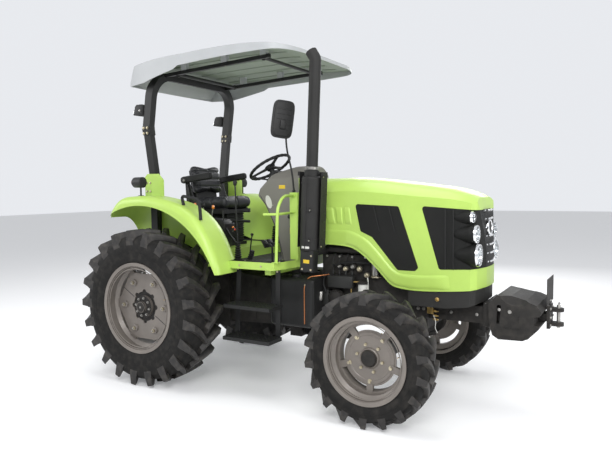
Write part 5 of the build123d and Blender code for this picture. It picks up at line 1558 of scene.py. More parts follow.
    def _left(self) -> None:
        """Starter, dipstick, oil filter and intake runs on the engine's left."""
        shape = Shaper("engine_left").use(CASTING)
        y = self.flank
        shape.rod((1.5, y + 0.05, 0.8), "x", 1.68, 0.048, 32, 0.006)
        shape.rod((1.53, y + 0.07, 0.88), "x", 1.64, 0.026, 24, 0.004)
        shape.box((1.5, y - 0.002, 0.76), (1.68, y + 0.04, 0.9), 0.008)
        shape.use(STEEL).tube([(1.86, y, 0.76), (1.86, y + 0.05, 0.88), (1.88, y + 0.06, 1.12)], 0.005, 0.05,
            8)
        shape.use(AMBER).ring((1.88, y + 0.06, 1.135), ALONG_Y, 0.014, 0.003, 20, 6)
        shape.use(BLACK).rod((1.98, y + 0.055, 0.78), "z", 0.91, 0.045, 32, 0.008)
        shape.use(CASTING).box((1.94, y, 0.905), (2.02, y + 0.09, 0.935), 0.006)
        for x in self.ports:
            shape.use(ENGINE).tube([(x, 0.16, 1.33), (x, 0.22, 1.33), (x, 0.235, 1.3)], 0.02, 0.04, 14)
        shape.tube([(1.54, 0.238, 1.29), (2.22, 0.238, 1.29)], 0.032, seg=20)
        for x in self.rows:
            shape.use(STEEL).nut((x, y, 1.165), "y", y + 0.01, 0.008)
        shape.use(ENGINE).box((1.555, -0.09, 1.498), (2.205, 0.09, 1.516), 0.01)
        for x in (1.6, 1.78, 1.98, 2.16):
            shape.use(STEEL).nut((x, 0.0, 1.516), "z", 1.526, 0.009)
        shape.use(BLACK).rod((1.7, 0.05, 1.515), "z", 1.545, 0.03, 10, 0.004)
        shape.make("chassis")

    def _front(self) -> None:
        """Fan, pulleys, radiator core, air cleaner and the hose fittings under the skirt."""
        shape = Shaper("engine_front").use(CASTING)
        shape.rod((2.29, 0, 0.86), "x", 2.34, 0.085, 40, 0.006)
        shape.rod((2.29, 0, self.shaft), "x", 2.345, 0.06, 36, 0.005)
        for k in range(self.blades):
            spin = (Matrix.Translation((2.365, 0, self.shaft))
                @ Matrix.Rotation(2 * math.pi * k / self.blades, 4, "X") @ Matrix.Rotation(math.radians(28),
                4, "Z"))
            shape.use(BLACK).box((-0.004, -0.035, 0.055), (0.004, 0.035, 0.205), 0.003, matrix=spin)
        shape.use(BLACK).rod((2.35, 0, self.shaft), "x", 2.38, 0.062, 32, 0.006)
        shape.use(SOFT_BLACK).tube([(2.322, 0.06, 1.185), (2.322, 0.086, 0.86)], 0.006, seg=8)
        shape.tube([(2.322, -0.06, 1.185), (2.322, -0.086, 0.86)], 0.006, seg=8)
        shape.use(CASTING).box((2.43, -0.25, 0.905), (2.5, 0.25, 1.44), 0.01)
        shape.use(SKIRT).ring((2.412, 0, self.shaft), ALONG_X, 0.225, 0.012, 56, 10)
        fin = Shaper("fin").use(STEEL)
        fin.box((-0.001, -0.235, -0.001), (0.001, 0.235, 0.001), 0.0)
        Repeater.add(shape, fin, STEEL, self.fins, step_move=(0, 0, 0.0085), centre=(2.5015, 0, 0.925))
        shape.use(SOFT_BLACK).tube([(2.25, 0.09, 1.44), (2.34, 0.11, 1.47), (2.432, 0.12, 1.41)], 0.024, 0.06,
            16)
        shape.use(BLACK).rod((2.03, 0.0, 1.63), "x", 2.42, 0.085, 40, 0.01)
        shape.tube([(2.05, 0.0, 1.6), (1.98, 0.08, 1.55), (1.95, 0.2, 1.36)], 0.03, 0.08, 16)
        shape.use(BRASS)
        shape.box((2.42, -0.215, 0.745), (2.47, -0.185, 0.8), 0.004)
        for z in (0.705, 0.735, 0.77):
            shape.cyl((2.47, -0.2, z), (2.495, -0.212, z), 0.01, 6, 0.001)
            shape.cyl((2.49, -0.21, z), (2.512, -0.22, z), 0.006, seg=14)
        shape.use(WHITE).tube([(2.47, -0.21, 0.74), (2.5, -0.235, 0.69), (2.488, -0.225, 0.64),
            (2.505, -0.215, 0.6)], 0.0028, 0.03, 8)
        shape.use(SOFT_BLACK).tube([(2.42, -0.19, 0.76), (2.34, -0.2, 0.7), (2.26, -0.15, 0.6),
            (2.19, -0.1, 0.585)], 0.008, 0.06, 10)
        shape.tube([(2.42, -0.2, 0.72), (2.35, -0.22, 0.66), (2.26, -0.2, 0.575), (2.19, -0.16, 0.57)], 0.008,
            0.06, 10)
        shape.make("chassis")


@dataclass(frozen=True)
class ExhaustDress:
    """Clamps, folded seam, shield slots and screws, the bracket below and its blank labels."""

    foot: Point = (1.52, -0.515, 1.235)
    lean: float = 2.845
    muffler: float = 0.08
    slots: int = 7
    slot_step: float = 0.07

    def _arc(self, reach: float, thick: float, a: float, b: float, count: int = 12) -> List[Flat]:
        """Outline of a thin curved patch on the muffler.

        Args:
            reach: Radius of its inside.
            thick: Its thickness.
            a: Its first angle in degrees.
            b: Its last angle in degrees.
            count: Steps between them.

        Returns:
            The outline.
        """
        angles = [math.radians(a + (b - a) * k / count) for k in range(count + 1)]
        outer = [((reach + thick) * math.cos(t), (reach + thick) * math.sin(t)) for t in angles]
        inner = [(reach * math.cos(t), reach * math.sin(t)) for t in reversed(angles)]
        return outer + inner

    def build(self) -> None:
        """Builds everything in the muffler's own leaning space."""
        place = Matrix.Translation(self.foot) @ Matrix.Rotation(math.radians(self.lean), 4, "Y")
        shape = Shaper("exhaust_dress")
        r = self.muffler
        shape.use(EXHAUST)
        for z in (0.085, 0.33):
            shape.prism(self._arc(r - 0.001, 0.0035, 0, 359.9, 60), z, z + 0.022, "z", matrix=place)
            shape.box((0.03, -r - 0.02, z), (0.042, -r + 0.01, z + 0.022), 0.002, matrix=place)
            shape.use(STEEL).nut((0.042, -r - 0.012, z + 0.011), "x", 0.05, 0.006, matrix=place)
            shape.use(EXHAUST)
        shape.box((-0.004, -r - 0.003, 0.02), (0.004, -r + 0.004, 0.55), 0.002, matrix=place)
        shape.use(STEEL).prism(self._arc(0.0475, 0.003, 0, 359.9, 48), 0.668, 0.69, "z", matrix=place)
        shape.nut((-0.02, -0.052, 0.679), "y", -0.066, 0.006, matrix=place)
        shape.use(BLACK)
        for side in (1, -1):
            for k in range(self.slots):
                z = 0.1 + self.slot_step * k
                x = side * 0.1046
                shape.box((x - 0.0008, 0.01, z), (x + 0.0008, 0.07, z + 0.01), 0.0004, matrix=place)
            for z in (0.045, 0.61):
                shape.use(ZINC).nut((side * 0.1042, 0.004, z), "x", side * 0.11, 0.006, matrix=place)
                shape.use(BLACK)
        shape.use(FRAME).box((-0.05, -0.06, -0.165), (0.072, -0.054, 0.012), 0.003, matrix=place)
        shape.box((-0.05, -0.06, -0.165), (-0.044, 0.02, 0.01), 0.002, matrix=place)
        shape.box((0.066, -0.06, -0.165), (0.072, 0.02, 0.01), 0.002, matrix=place)
        for x, z in ((-0.03, -0.145), (0.052, -0.145), (0.052, -0.03)):
            shape.use(ZINC).nut((x, -0.06, z), "y", -0.067, 0.007, matrix=place)
        shape.use(LABEL).prism(self._arc(r + 0.0002, 0.0012, -112, -62), 0.028, 0.046, "z", matrix=place)
        shape.use(YELLOW).box((-0.02, -0.0612, -0.095), (0.036, -0.06, -0.065), 0.0004, matrix=place)
        shape.make("chassis")


@dataclass(frozen=True)
class HoodTrim:
    """Seams, the raised band and the raised panels laid on the hood, and the nose's latches."""

    nodes: Dict[str, bpy.types.Object]
    outside: float = 0.6
    step: float = 0.006
    band: float = 0.009
    panel: float = 0.007
    panel_top: float = 1.592
    panel_drop: float = 0.146

    def build(self) -> None:
        """Lays the trim on both hands."""
        skin = Skin(self.nodes["hood"])
        shape = Shaper("hood_seams").use(BLACK)
        for sign in (1, -1):
            out, way = self.outside * sign, (0, -sign, 0)
            line = skin.lay([(2.545 + 0.002 * k, out, 1.068 - 0.012 * k) for k in range(11)], way)
            self._run(shape, line, 0.0014)
            line = skin.lay([(1.372, out, 1.3 + 0.022 * k) for k in range(20)], way)
            self._run(shape, line, 0.0012)
        shape.make("hood")
        self._pressing(skin)
        skirt = Skin(self.nodes["nose_skirt"])
        shape = Shaper("hood_latches")
        for sign in (1, -1):
            out = Vector((0, sign, 0))
            start, way = self.outside * sign, (0, -sign, 0)
            for spot in map(Vector, skirt.lay([(2.535, start, 0.884)], way)):
                shape.use(BRASS).cyl(spot - out * 0.004, spot + out * 0.008, 0.016, 24, 0.002)
                shape.box(tuple(spot + Vector((-0.005, 0, -0.013)) + out * 0.006),
                    tuple(spot + Vector((0.005, 0, 0.013)) + out * 0.014), 0.002)
            for at in map(Vector, skirt.lay([(x, start, 0.955) for x in (2.36, 2.47, 2.63, 2.72)], way)):
                shape.use(BLACK).cyl(at - out * 0.003, at + out * 0.003, 0.007, 18, 0.001)
        shape.make("chassis")

    def _pressing(self, skin: Skin) -> None:
        """Raised band along the hood's lower sweep and four raised panels ahead of the heat shield."""
        shape = Shaper("hood_pressing").use(GREEN)
        sweep = [(1.385, 1.406), (1.786, 1.403), (1.867, 1.376), (1.966, 1.322), (2.07, 1.214),
            (2.164, 1.108), (2.232, 1.068), (2.389, 1.062), (2.564, 1.074), (2.7, 1.09)]
        path = [Vector((p.x, p.z)) for p in rounded([(x, 0, z) for x, z in sweep], 0.07, 4)]
        for sign in (1, -1):
            rows = [self._across(skin, a, b, sign) for a, b in zip(path, path[1:])]
            self._patch(shape, skin, [r for r in rows if r], sign, self.band)
            for x0, x1, lean0, lean1 in ((1.43, 1.52, 0.02, 0.03), (1.55, 1.64, 0.044, 0.024),
                    (1.659, 1.722, 0.021, 0.011), (1.742, 1.792, 0.01, 0.022)):
                rows = []
                for k in range(13):
                    lean = lean0 + (lean1 - lean0) * k / 12
                    rows.append([(x0 + (x1 - x0) * k / 12 + lean * m / 10,
                        self.panel_top - self.panel_drop * m / 10) for m in range(11)])
                self._patch(shape, skin, rows, sign, self.panel)
        shape.make("hood", 50)

    def _across(self, skin: Skin, a: Vector, b: Vector, sign: int) -> List[Flat]:
        """Stations across the band, square to its upper line.

        Args:
            skin: The hood's surface.
            a: A point of the upper line, as (x, z).
            b: The next point.
            sign: The hand.

        Returns:
            Eleven (x, z) stations down to the hood's lower edge, or none where there is no room.
        """
        run = (b - a).normalized()
        down = Vector((run.y, -run.x))
        reach = 0.0
        while reach < 0.2:
            at = a + down * (reach + self.step)
            if not skin.lay([(at.x, self.outside * sign, at.y)], (0, -sign, 0)):
                break
            reach += self.step
        reach -= 0.01
        return [tuple(a + down * reach * m / 10) for m in range(11)] if reach > 0.02 else []

    def _patch(self, shape: Shaper, skin: Skin, rows: Sequence[Sequence[Flat]], sign: int,
            lift: float) -> None:
        """Lays a raised patch on the hood, flush round its edge.

        Args:
            shape: The piece that takes it.
            skin: The hood's surface.
            rows: Its grid of (x, z) stations.
            sign: The hand.
            lift: How far its middle stands off the hood.
        """
        part = bmesh.new()
        grid = []
        last = len(rows) - 1
        for i, row in enumerate(rows):
            line = []
            for m, (x, z) in enumerate(row):
                rim = min(i, last - i, m, len(row) - 1 - m)
                up = -0.0006 if rim == 0 else lift * min(1.0, 0.72 + 0.28 * (rim - 1))
                hits = skin.lay([(x, self.outside * sign, z)], (0, -sign, 0))
                y = hits[0][1] if hits else (line[-1].co.y if line else 0.33 * sign)
                line.append(part.verts.new((x, y + sign * (up if hits else 0.0), z)))
            grid.append(line)
        for low, high in zip(grid, grid[1:]):
            for a, b, c, d in zip(low, low[1:], high[1:], high):
                part.faces.new((a, b, c, d) if sign < 0 else (d, c, b, a))
        back = bmesh.ops.duplicate(part, geom=part.verts[:] + part.edges[:] + part.faces[:])["geom"]
        verts = [g for g in back if isinstance(g, bmesh.types.BMVert)]
        bmesh.ops.reverse_faces(part, faces=[g for g in back if isinstance(g, bmesh.types.BMFace)])
        for vert in verts:
            vert.co.y -= sign * 0.0008
        bmesh.ops.bridge_loops(part, edges=[e for e in part.edges if e.is_boundary])
        shape.merge(part)

    @staticmethod
    def _run(shape: Shaper, line: Sequence[Point], r: float) -> None:
        """A thin seam along a line of at least two points."""
        if len(line) > 1:
            shape.tube(line, r, 0.002, 6)


@dataclass(frozen=True)
class Roof:
    """Sheet of painted shade and painted green reflection under the canopy, its ribs, the rails' clamps, the
    hoop's splice bolts and lamps.
    """

    canopy: bpy.types.Object
    ribs: Sequence[float] = (-0.56, -0.34, -0.115, 0.115, 0.34, 0.56)
    lowest: float = 2.885
    gap: float = 0.0012
    sheet: float = 0.003
    work_lamp: float = 0.592
    tail_lamp: Point = (-0.13, 0.78, 1.823)

    def build(self) -> None:
        """Builds the painted-shade sheet under the canopy, the hoop's fittings and the lamps."""
        self._underside_shade_sheet()
        self._hoop()
        self._lamps()

    def _underside_shade_sheet(self) -> None:
        """Thin sheet copied from the canopy's underside, with stiffening ribs; its darker, greener colour is
        painted shade with a painted green reflection on the canopy's own plastic.
        """
        part = bmesh.new()
        part.from_mesh(self.canopy.data)
        part.transform(self.canopy.matrix_world)
        bmesh.ops.remove_doubles(part, verts=part.verts, dist=1e-5)
        part.normal_update()
        drop = [f for f in part.faces if f.normal.z >= -0.7 or f.calc_center_median().z <= self.lowest]
        bmesh.ops.delete(part, geom=drop, context="FACES")
        bmesh.ops.translate(part, verts=part.verts, vec=(-SHIFT_X, 0, -self.gap))
        shell = bmesh.ops.extrude_face_region(part, geom=part.faces[:])["geom"]
        bmesh.ops.translate(part, verts=[g for g in shell if isinstance(g, bmesh.types.BMVert)],
            vec=(0, 0, -self.sheet))
        # Painted shade and painted green reflection colour the sheet and its ribs.
        shape = Shaper("roof_liner").use(CANOPY_UNDERSIDE_SHADE)
        shape.merge(part)
        skin = Skin(self.canopy)
        for y in self.ribs:
            found = skin.lay([(-0.1 + 0.165 * k, y, 2.7) for k in range(9)], ALONG_Z)
            line = [(p[0], p[1], p[2] - 0.006) for p in found if p[2] > 2.88]
            if len(line) > 2:
                shape.tube(line, 0.007, 0.02, 8)
        shape.make("chassis")

    def _hoop(self) -> None:
        """Splice plates, clamps and bolts of the roll hoop and rails."""
        shape = Shaper("hoop_bolts")
        for z in (2.285, 2.335):
            for x in (-0.2, -0.156):
                shape.use(ZINC).nut((x, 0.63, z), "y", 0.64, 0.01)
                shape.nut((x, 0.552, z), "y", 0.543, 0.01)
        for z in (1.74, 1.82):
            for x in (-0.2, -0.156):
                shape.use(ZINC).nut((x, 0.61, z), "y", 0.617, 0.009)
        for x, z in ((0.17, 2.864), (0.64, 2.88), (1.06, 2.896)):
            shape.use(FRAME).box((x - 0.03, 0.437, z - 0.026), (x + 0.03, 0.473, z - 0.02), 0.002)
            shape.use(ZINC).nut((x, 0.455, z - 0.026), "z", z - 0.036, 0.008)
        for x, z in ((0.07, 2.834), (1.04, 2.874)):
            shape.use(FRAME).rod((x, 0.42, z), "y", 0.438, 0.024, 24, 0.002)
        shape.mirror()
        shape.make("chassis")

    def _lamps(self) -> None:
        """Work lamps that face back from the hoop, and round tail lamps on the fenders."""
        shape = Shaper("lamps_rear")
        glass = Shaper("lamps_rear_glass").use(GLASS)
        y = self.work_lamp
        shape.use(BLACK).prism([(-0.33, 2.462), (-0.232, 2.446), (-0.208, 2.455), (-0.196, 2.545),
            (-0.22, 2.56), (-0.302, 2.549)], y - 0.045, y + 0.045, bevel=0.007)
        for k in range(4):
            x = -0.292 + 0.02 * k
            shape.use(BLACK).box((x, y - 0.04, 2.545), (x + 0.006, y + 0.04, 2.5595), 0.002)
        slope = turn((-0.318, y, 2.505), ALONG_Y, 18)
        shape.use(CHROME).box((-0.3225, y - 0.038, 2.47), (-0.3185, y + 0.038, 2.54), 0.002, matrix=slope)
        glass.box((-0.326, y - 0.036, 2.472), (-0.3235, y + 0.036, 2.538), 0.0008, matrix=slope)
        shape.use(STEEL).nut((-0.24, y + 0.045, 2.5), "y", y + 0.053, 0.009)
        shape.use(FRAME).box((-0.216, y - 0.025, 2.462), (-0.2, y + 0.025, 2.54), 0.002)
        x, y, z = self.tail_lamp
        shape.rod((-0.107, y, 1.7005), "z", 1.79, 0.008, seg=16)
        shape.lathe([(0.0, 0.0), (0.0, 0.026), (0.004, 0.026), (0.006, 0.01), (0.006, 0.0)],
            (-0.107, y, 1.7003), ALONG_Z, 28, False)
        shape.use(BLACK).lathe([(-0.066, 0.0), (-0.066, 0.03), (-0.058, 0.038), (-0.044, 0.048),
            (0.052, 0.0495), (0.055, 0.046), (0.055, 0.0)], (x, y, z), ALONG_X, 44, False)
        shape.use(RED).lathe([(-0.0745, 0.0), (-0.074, 0.018), (-0.07, 0.029), (-0.064, 0.032),
            (-0.064, 0.0)], (x, y, z), ALONG_X, 36, False)
        shape.use(SOFT_BLACK).lathe([(0.054, 0.0), (0.054, 0.04), (0.0556, 0.038), (0.057, 0.02),
            (0.0572, 0.0)], (x, y, z), ALONG_X, 40, False)
        shape.mirror()
        glass.mirror()
        obj = shape.make("chassis")
        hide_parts("rear_lamps")
        glass.make("chassis")


@dataclass(frozen=True)
class Chassis:
    """Bolts, plugs, covers, tank, steps, hitch and weight dress."""

    rear_axle: float = 0.703
    front_axle: Flat = (2.18, 0.498)
    kingpin: float = 0.56
    buttons: int = 12
    button_step: float = 0.0365
    rod_y: float = 0.335
    link_z: float = 0.905
    weight_half: float = 0.25
    tow_pin: float = 3.362

    def build(self) -> None:
        """Builds the dress of each part of the chassis."""
        self._housings()
        self._steps()
        self._tank()
        self._axle()
        self._knuckles()
        self._hitch()
        self._weight()

    def _housings(self) -> None:
        """Flange bolts, ribs and plugs of the castings and the axle tubes."""
        shape = Shaper("housing_dress")
        for sign in (1, -1):
            y = sign * 0.19
            for x, z in ((1.11, 0.55), (1.11, 0.72), (1.11, 0.88), (1.44, 0.62), (1.44, 0.78), (1.44, 0.94)):
                shape.use(STEEL).nut((x, y, z), "y", y + sign * 0.01, 0.009)
            shape.use(CASTING).box((1.464, sign * 0.205 - 0.012, 0.6), (1.482, sign * 0.205 + 0.012, 1.04),
                0.004)
            for x in (0.46, 0.7, 0.94):
                shape.use(CASTING).box((x, sign * 0.15 - 0.006, 0.52), (x + 0.02, sign * 0.15 + 0.006, 0.9),
                    0.003)
            for c, d in circle(10):
                x, z = 0.142 * c, self.rear_axle + 0.142 * d
                shape.use(STEEL).nut((x, sign * 0.3, z), "y", sign * 0.31, 0.009)
                x, z = 0.105 * c, self.rear_axle + 0.105 * d
                shape.nut((x, sign * 0.55, z), "y", sign * 0.541, 0.007)
        for x in (-0.28, -0.12, 0.04, 0.2, 0.33):
            for y in (-0.15, 0.15):
                shape.use(STEEL).nut((x, y, 1.15), "z", 1.159, 0.008)
        shape.use(CASTING).rod((0.02, 0, 0.432), "z", 0.418, 0.02, 6, 0.002)
        shape.rod((1.75, 0, 0.562), "z", 0.548, 0.018, 6, 0.002)
        shape.make("chassis")

    def _steps(self) -> None:
        """Raised buttons on the treads and bolts of the step rails."""
        shape = Shaper("step_dress")
        for z, reach in ((0.777, 0.0), (0.505, 0.018)):
            for y in (0.61, 0.65, 0.69, 0.73):
                button = Shaper("button").use(FRAME).lathe([(0.0, 0.0), (0.0, 0.0075), (0.0022, 0.006),
                    (0.0026, 0.0035), (0.0026, 0.0)], HERE, ALONG_Z, 10, False)
                Repeater.add(shape, button, FRAME, self.buttons, step_move=(self.button_step, 0, 0),
                    centre=(0.85, y + reach, z))
        for x in (0.846, 1.256):
            for z in (1.06, 0.76, 0.49):
                shape.use(ZINC).nut((x - (1.06 - z) * 0.045, 0.598, z), "y", 0.606, 0.008)
        shape.mirror()
        shape.make("chassis")

    def _tank(self) -> None:
        """Straps, filler cap, drain and vent of the tank; lid and clamps of the battery box."""
        shape = Shaper("tank_dress")
        for x in (1.15, 1.41):
            shape.use(FRAME)
            shape.box((x, -0.4335, 0.585), (x + 0.03, -0.4305, 0.96), 0.001)
            shape.box((x, -0.405, 0.9853), (x + 0.03, -0.24, 0.9883), 0.001)
            shape.box((x, -0.405, 0.5567), (x + 0.03, -0.24, 0.5597), 0.001)
            shape.use(ZINC).nut((x + 0.015, -0.4335, 0.935), "y", -0.441, 0.006)
        shape.use(BLACK).lathe([(0.0, 0.0), (0.0, 0.04), (0.018, 0.04), (0.024, 0.034), (0.024, 0.0)],
            (1.28, -0.33, 0.985), ALONG_Z, 18, False)
        shape.use(BRASS).nut((1.28, -0.32, 0.5605), "z", 0.548, 0.01)
        shape.use(BLACK).box((1.05, 0.208, 0.935), (1.45, 0.428, 0.968), 0.008)
        for x in (1.14, 1.36):
            shape.use(SOFT_BLACK).box((x - 0.012, 0.4205, 0.88), (x + 0.012, 0.4305, 0.95), 0.003)
        shape.use(RED).tube([(1.1, 0.3, 0.96), (1.09, 0.24, 1.0), (1.12, 0.19, 1.01)], 0.006, 0.03, 8)
        shape.make("chassis")

    def _axle(self) -> None:
        """Cover bolts, breather and plugs of the driven front axle; bolts of the bolster."""
        shape = Shaper("axle_dress")
        for y, up in circle(12, 0.112):
            z = self.front_axle[1] + up
            if z < 0.6:
                shape.use(STEEL).nut((2.225, y, z), "x", 2.236, 0.008)
        shape.use(BRASS).hexagon((2.305, 0.0, 0.47), (2.316, 0.0, 0.468), 0.011)
        for sign in (1, -1):
            for z in (0.69, 0.78, 0.86):
                shape.use(STEEL).nut((2.345, sign * 0.205, z), "y", sign * 0.215, 0.011)
                shape.nut((2.39, sign * 0.205, z), "y", sign * 0.215, 0.011)
            for x in (2.4, 2.6, 2.8):
                shape.use(STEEL).nut((x, sign * 0.165, 0.765), "y", sign * 0.175, 0.01)
            shape.use(CASTING).rod((2.18, sign * 0.47, 0.558), "z", 0.572, 0.012, 18, 0.002)
            for y in (0.2, 0.34):
                shape.use(CASTING).box((2.119, sign * y - 0.006, 0.438), (2.241, sign * y + 0.006, 0.5592),
                    0.003)
        shape.use(SOFT_BLACK)
        for k in range(7):
            x = 1.185 + 0.014 * k
            shape.lathe([(-0.0065, 0.03), (0.0, 0.04), (0.0065, 0.03), (0.0065, 0.0), (-0.0065, 0.0)],
                (x, 0, 0.428), ALONG_X, 28, False)
        shape.make("chassis")

    def _knuckles(self) -> None:
        """Cap bolts and grease nipples that turn with each knuckle."""
        for side in Side:
            shape = Shaper("knuckle_dress_%s" % side.word)
            hub_x, hub_z = self.front_axle
            pin = (hub_x, self.kingpin)
            for u, v in circle(4, 0.042, math.pi / 4):
                x, y = pin[0] + u, pin[1] + v
                shape.use(STEEL).nut((x, y, 0.61), "z", 0.619, 0.007)
                shape.nut((x, y, 0.386), "z", 0.377, 0.007)
            shape.use(CASTING).lathe([(0.0, 0.0), (0.0, 0.03), (0.006, 0.028), (0.008, 0.0)], (*pin, 0.616),
                ALONG_Z, 28, False)
            shape.use(BRASS).cyl((*pin, 0.622), (*pin, 0.636), 0.004, seg=10)
            for u, v in circle(8, 0.098, 0.2):
                x, z = hub_x + u, hub_z + v
                shape.use(STEEL).nut((x, 0.6945, z), "y", 0.703, 0.006)
            if side is Side.RIGHT:
                shape.flip()
            shape.make("knuckle_" + side.word)

    def _hitch(self) -> None:
        """Guard over the shaft stub, couplers, plate covers, pins with clips and the drawbar pin."""
        shape = Shaper("hitch_dress")
        shape.use(FRAME).prism([(-0.47, 0.76), (-0.33, 0.79), (-0.33, 0.797), (-0.472, 0.767)], -0.13, 0.13,
            bevel=0.002)
        for sign in (1, -1):
            shape.box((-0.468, sign * 0.127 - 0.003, 0.655), (-0.33, sign * 0.127 + 0.003, 0.785), 0.002)
        for y in (-0.105, -0.055, 0.055, 0.105):
            shape.use(CASTING).box((-0.352, y - 0.02, 0.835), (-0.33, y + 0.02, 0.875), 0.004)
            shape.use(ZINC).rod((-0.352, y, 0.855), "x", -0.392, 0.014, 24, 0.002)
            shape.use(RED if y > 0 else SOFT_BLACK).rod((-0.388, y, 0.855), "x", -0.402, 0.018, 24, 0.003)
        for y, z in ((0.09, 0.6), (-0.09, 0.6), (0.09, 0.74), (-0.09, 0.74), (0.09, 0.96), (-0.09, 0.96)):
            shape.use(STEEL).nut((-0.33, y, z), "x", -0.34, 0.009)
        shape.use(STEEL).rod((-0.37, -0.06, 0.905), "y", 0.06, 0.0115, 18, 0.002)
        shape.ring((-0.37, 0.062, 0.905), ALONG_Y, 0.016, 0.002, 24, 6)
        for x in (-0.23, -0.275):
            shape.use(STEEL).nut((x, 0.075, 0.56), "z", 0.568, 0.009)
            shape.nut((x, -0.075, 0.56), "z", 0.568, 0.009)
        for y, up in circle(6, 0.0172):
            z = 0.64 + up
            shape.use(STEEL).box((-0.425, y - 0.0015, z - 0.0015), (-0.345, y + 0.0015, z + 0.0015), 0.0004)
        shape.make("chassis")
        rods = Shaper("rod_dress").use(STEEL)
        for sign in (1, -1):
            y = sign * self.rod_y
            rods.cyl((-0.566, y, 0.93), (-0.528, y, 0.7), 0.0225, 20, 0.002)
            for k in range(5):
                z = 0.905 - 0.042 * k
                rods.ring((-0.562 + 0.007 * k, y, z), (-0.16, 0, 1), 0.0232, 0.0018, 24, 6)
        rods.make("lift_rods")
        bar = Shaper("top_link_dress").use(CASTING)
        for x in (-0.555, -0.785):
            bar.rod((x, 0, self.link_z), "x", x - 0.022, 0.031, 6, 0.002)
        bar.use(STEEL)
        for k in range(16):
            for x in (-0.465, -0.815):
                bar.ring((x - 0.0055 * k, 0, self.link_z), ALONG_X, 0.0192, 0.0012, 24, 6)
        bar.use(FRAME).tube([(-0.64, 0.0, 0.93), (-0.67, 0.02, 0.955), (-0.71, 0.0, 0.93)], 0.005, 0.03, 10)
        bar.make("top_link")

    def _weight(self) -> None:
        """Side bolt, hook pin, lifting bar, tow pin with its handle and the blank casting ribs."""
        shape = Shaper("weight_dress")
        for sign in (1, -1):
            y = sign * self.weight_half
            shape.use(CASTING).rod((3.062, y - sign * 0.004, 0.826), "y", y + sign * 0.004, 0.024, seg=28,
                bevel=0.002)
            shape.use(STEEL).nut((3.062, y + sign * 0.003, 0.826), "y", y + sign * 0.012, 0.011)
            shape.use(CASTING).box((3.122, y - 0.003, 0.745), (3.134, y + 0.003, 0.8), 0.002)
            shape.box((3.02, y - 0.0025, 0.7), (3.15, y + 0.0025, 0.704), 0.001)
            shape.use(STEEL).rod((2.985, y - sign * 0.05, 0.835), "y", y + sign * 0.002, 0.012, seg=20,
                bevel=0.002)
        shape.use(STEEL).rod((self.tow_pin, 0, 0.69), "z", 0.862, 0.0134, 24, 0.002)
        shape.tube([(self.tow_pin, 0, 0.858), (self.tow_pin, 0.03, 0.874), (self.tow_pin, 0.055, 0.862)],
            0.006, 0.02, 12)
        for y in (-0.055, 0.055):
            for z in (0.712, 0.77, 0.835):
                shape.use(STEEL).nut((3.312, y, z), "x", 3.32, 0.009)
        for y in (-0.02, 0.02):
            shape.use(STEEL).nut((3.303, y, 0.89), "x", 3.309, 0.007)
        shape.make("chassis")


@dataclass(frozen=True)
class Camera:
    """The photograph's view point: azimuth, elevation, roll and focal length in pixels."""

    azimuth: float = 30.53
    elevation: float = 3.633
    roll: float = -0.699
    focal: float = 595.4
    width: float = 612.0
    sensor: float = 36.0
    spot: Point = (2.775, -4.728, 1.743)

    def build(self) -> None:
        """Places the camera and makes it the scene's own."""
        a, e, r = (math.radians(v) for v in (self.azimuth, self.elevation, self.roll))
        back = Vector((math.sin(a) * math.cos(e), -math.cos(a) * math.cos(e), math.sin(e)))
        right = (-back).cross(Vector(ALONG_Z)).normalized()
        up = right.cross(-back)
        right, up = right * math.cos(r) + up * math.sin(r), up * math.cos(r) - right * math.sin(r)
        data = bpy.data.cameras.new("camera")
        data.sensor_width = self.sensor
        data.sensor_fit = "HORIZONTAL"
        data.lens = self.focal / self.width * self.sensor
        data.clip_end = 100.0
        obj = link("camera", data)
        obj.matrix_world = Matrix.Translation(self.spot) @ Matrix((right, up, back)).transposed().to_4x4()
        bpy.context.scene.camera = obj


@dataclass(frozen=True)
class AreaLight:
    """A rectangular lamp: where it stands, what it faces, its size and its power in watts."""

    name: str
    spot: Point
    target: Point
    width: float
    depth: float
    power: float


LIGHTS = (AreaLight("key", (3.2, -6.4, 5.4), (0.2, 0, 1.2), 4.0, 3.0, 340),
          AreaLight("front", (7.4, -1.8, 3.6), (0.6, 0, 1.1), 3.2, 3.2, 200),
          AreaLight("top", (-0.4, 0.0, 7.2), (0.0, 0, 1.0), 5.5, 4.0, 190),
          AreaLight("rear", (-6.2, -3.6, 3.8), (-0.8, 0, 1.2), 3.0, 3.0, 120),
          AreaLight("far", (-1.0, 7.0, 4.4), (0.0, 0, 1.2), 4.0, 3.0, 190))


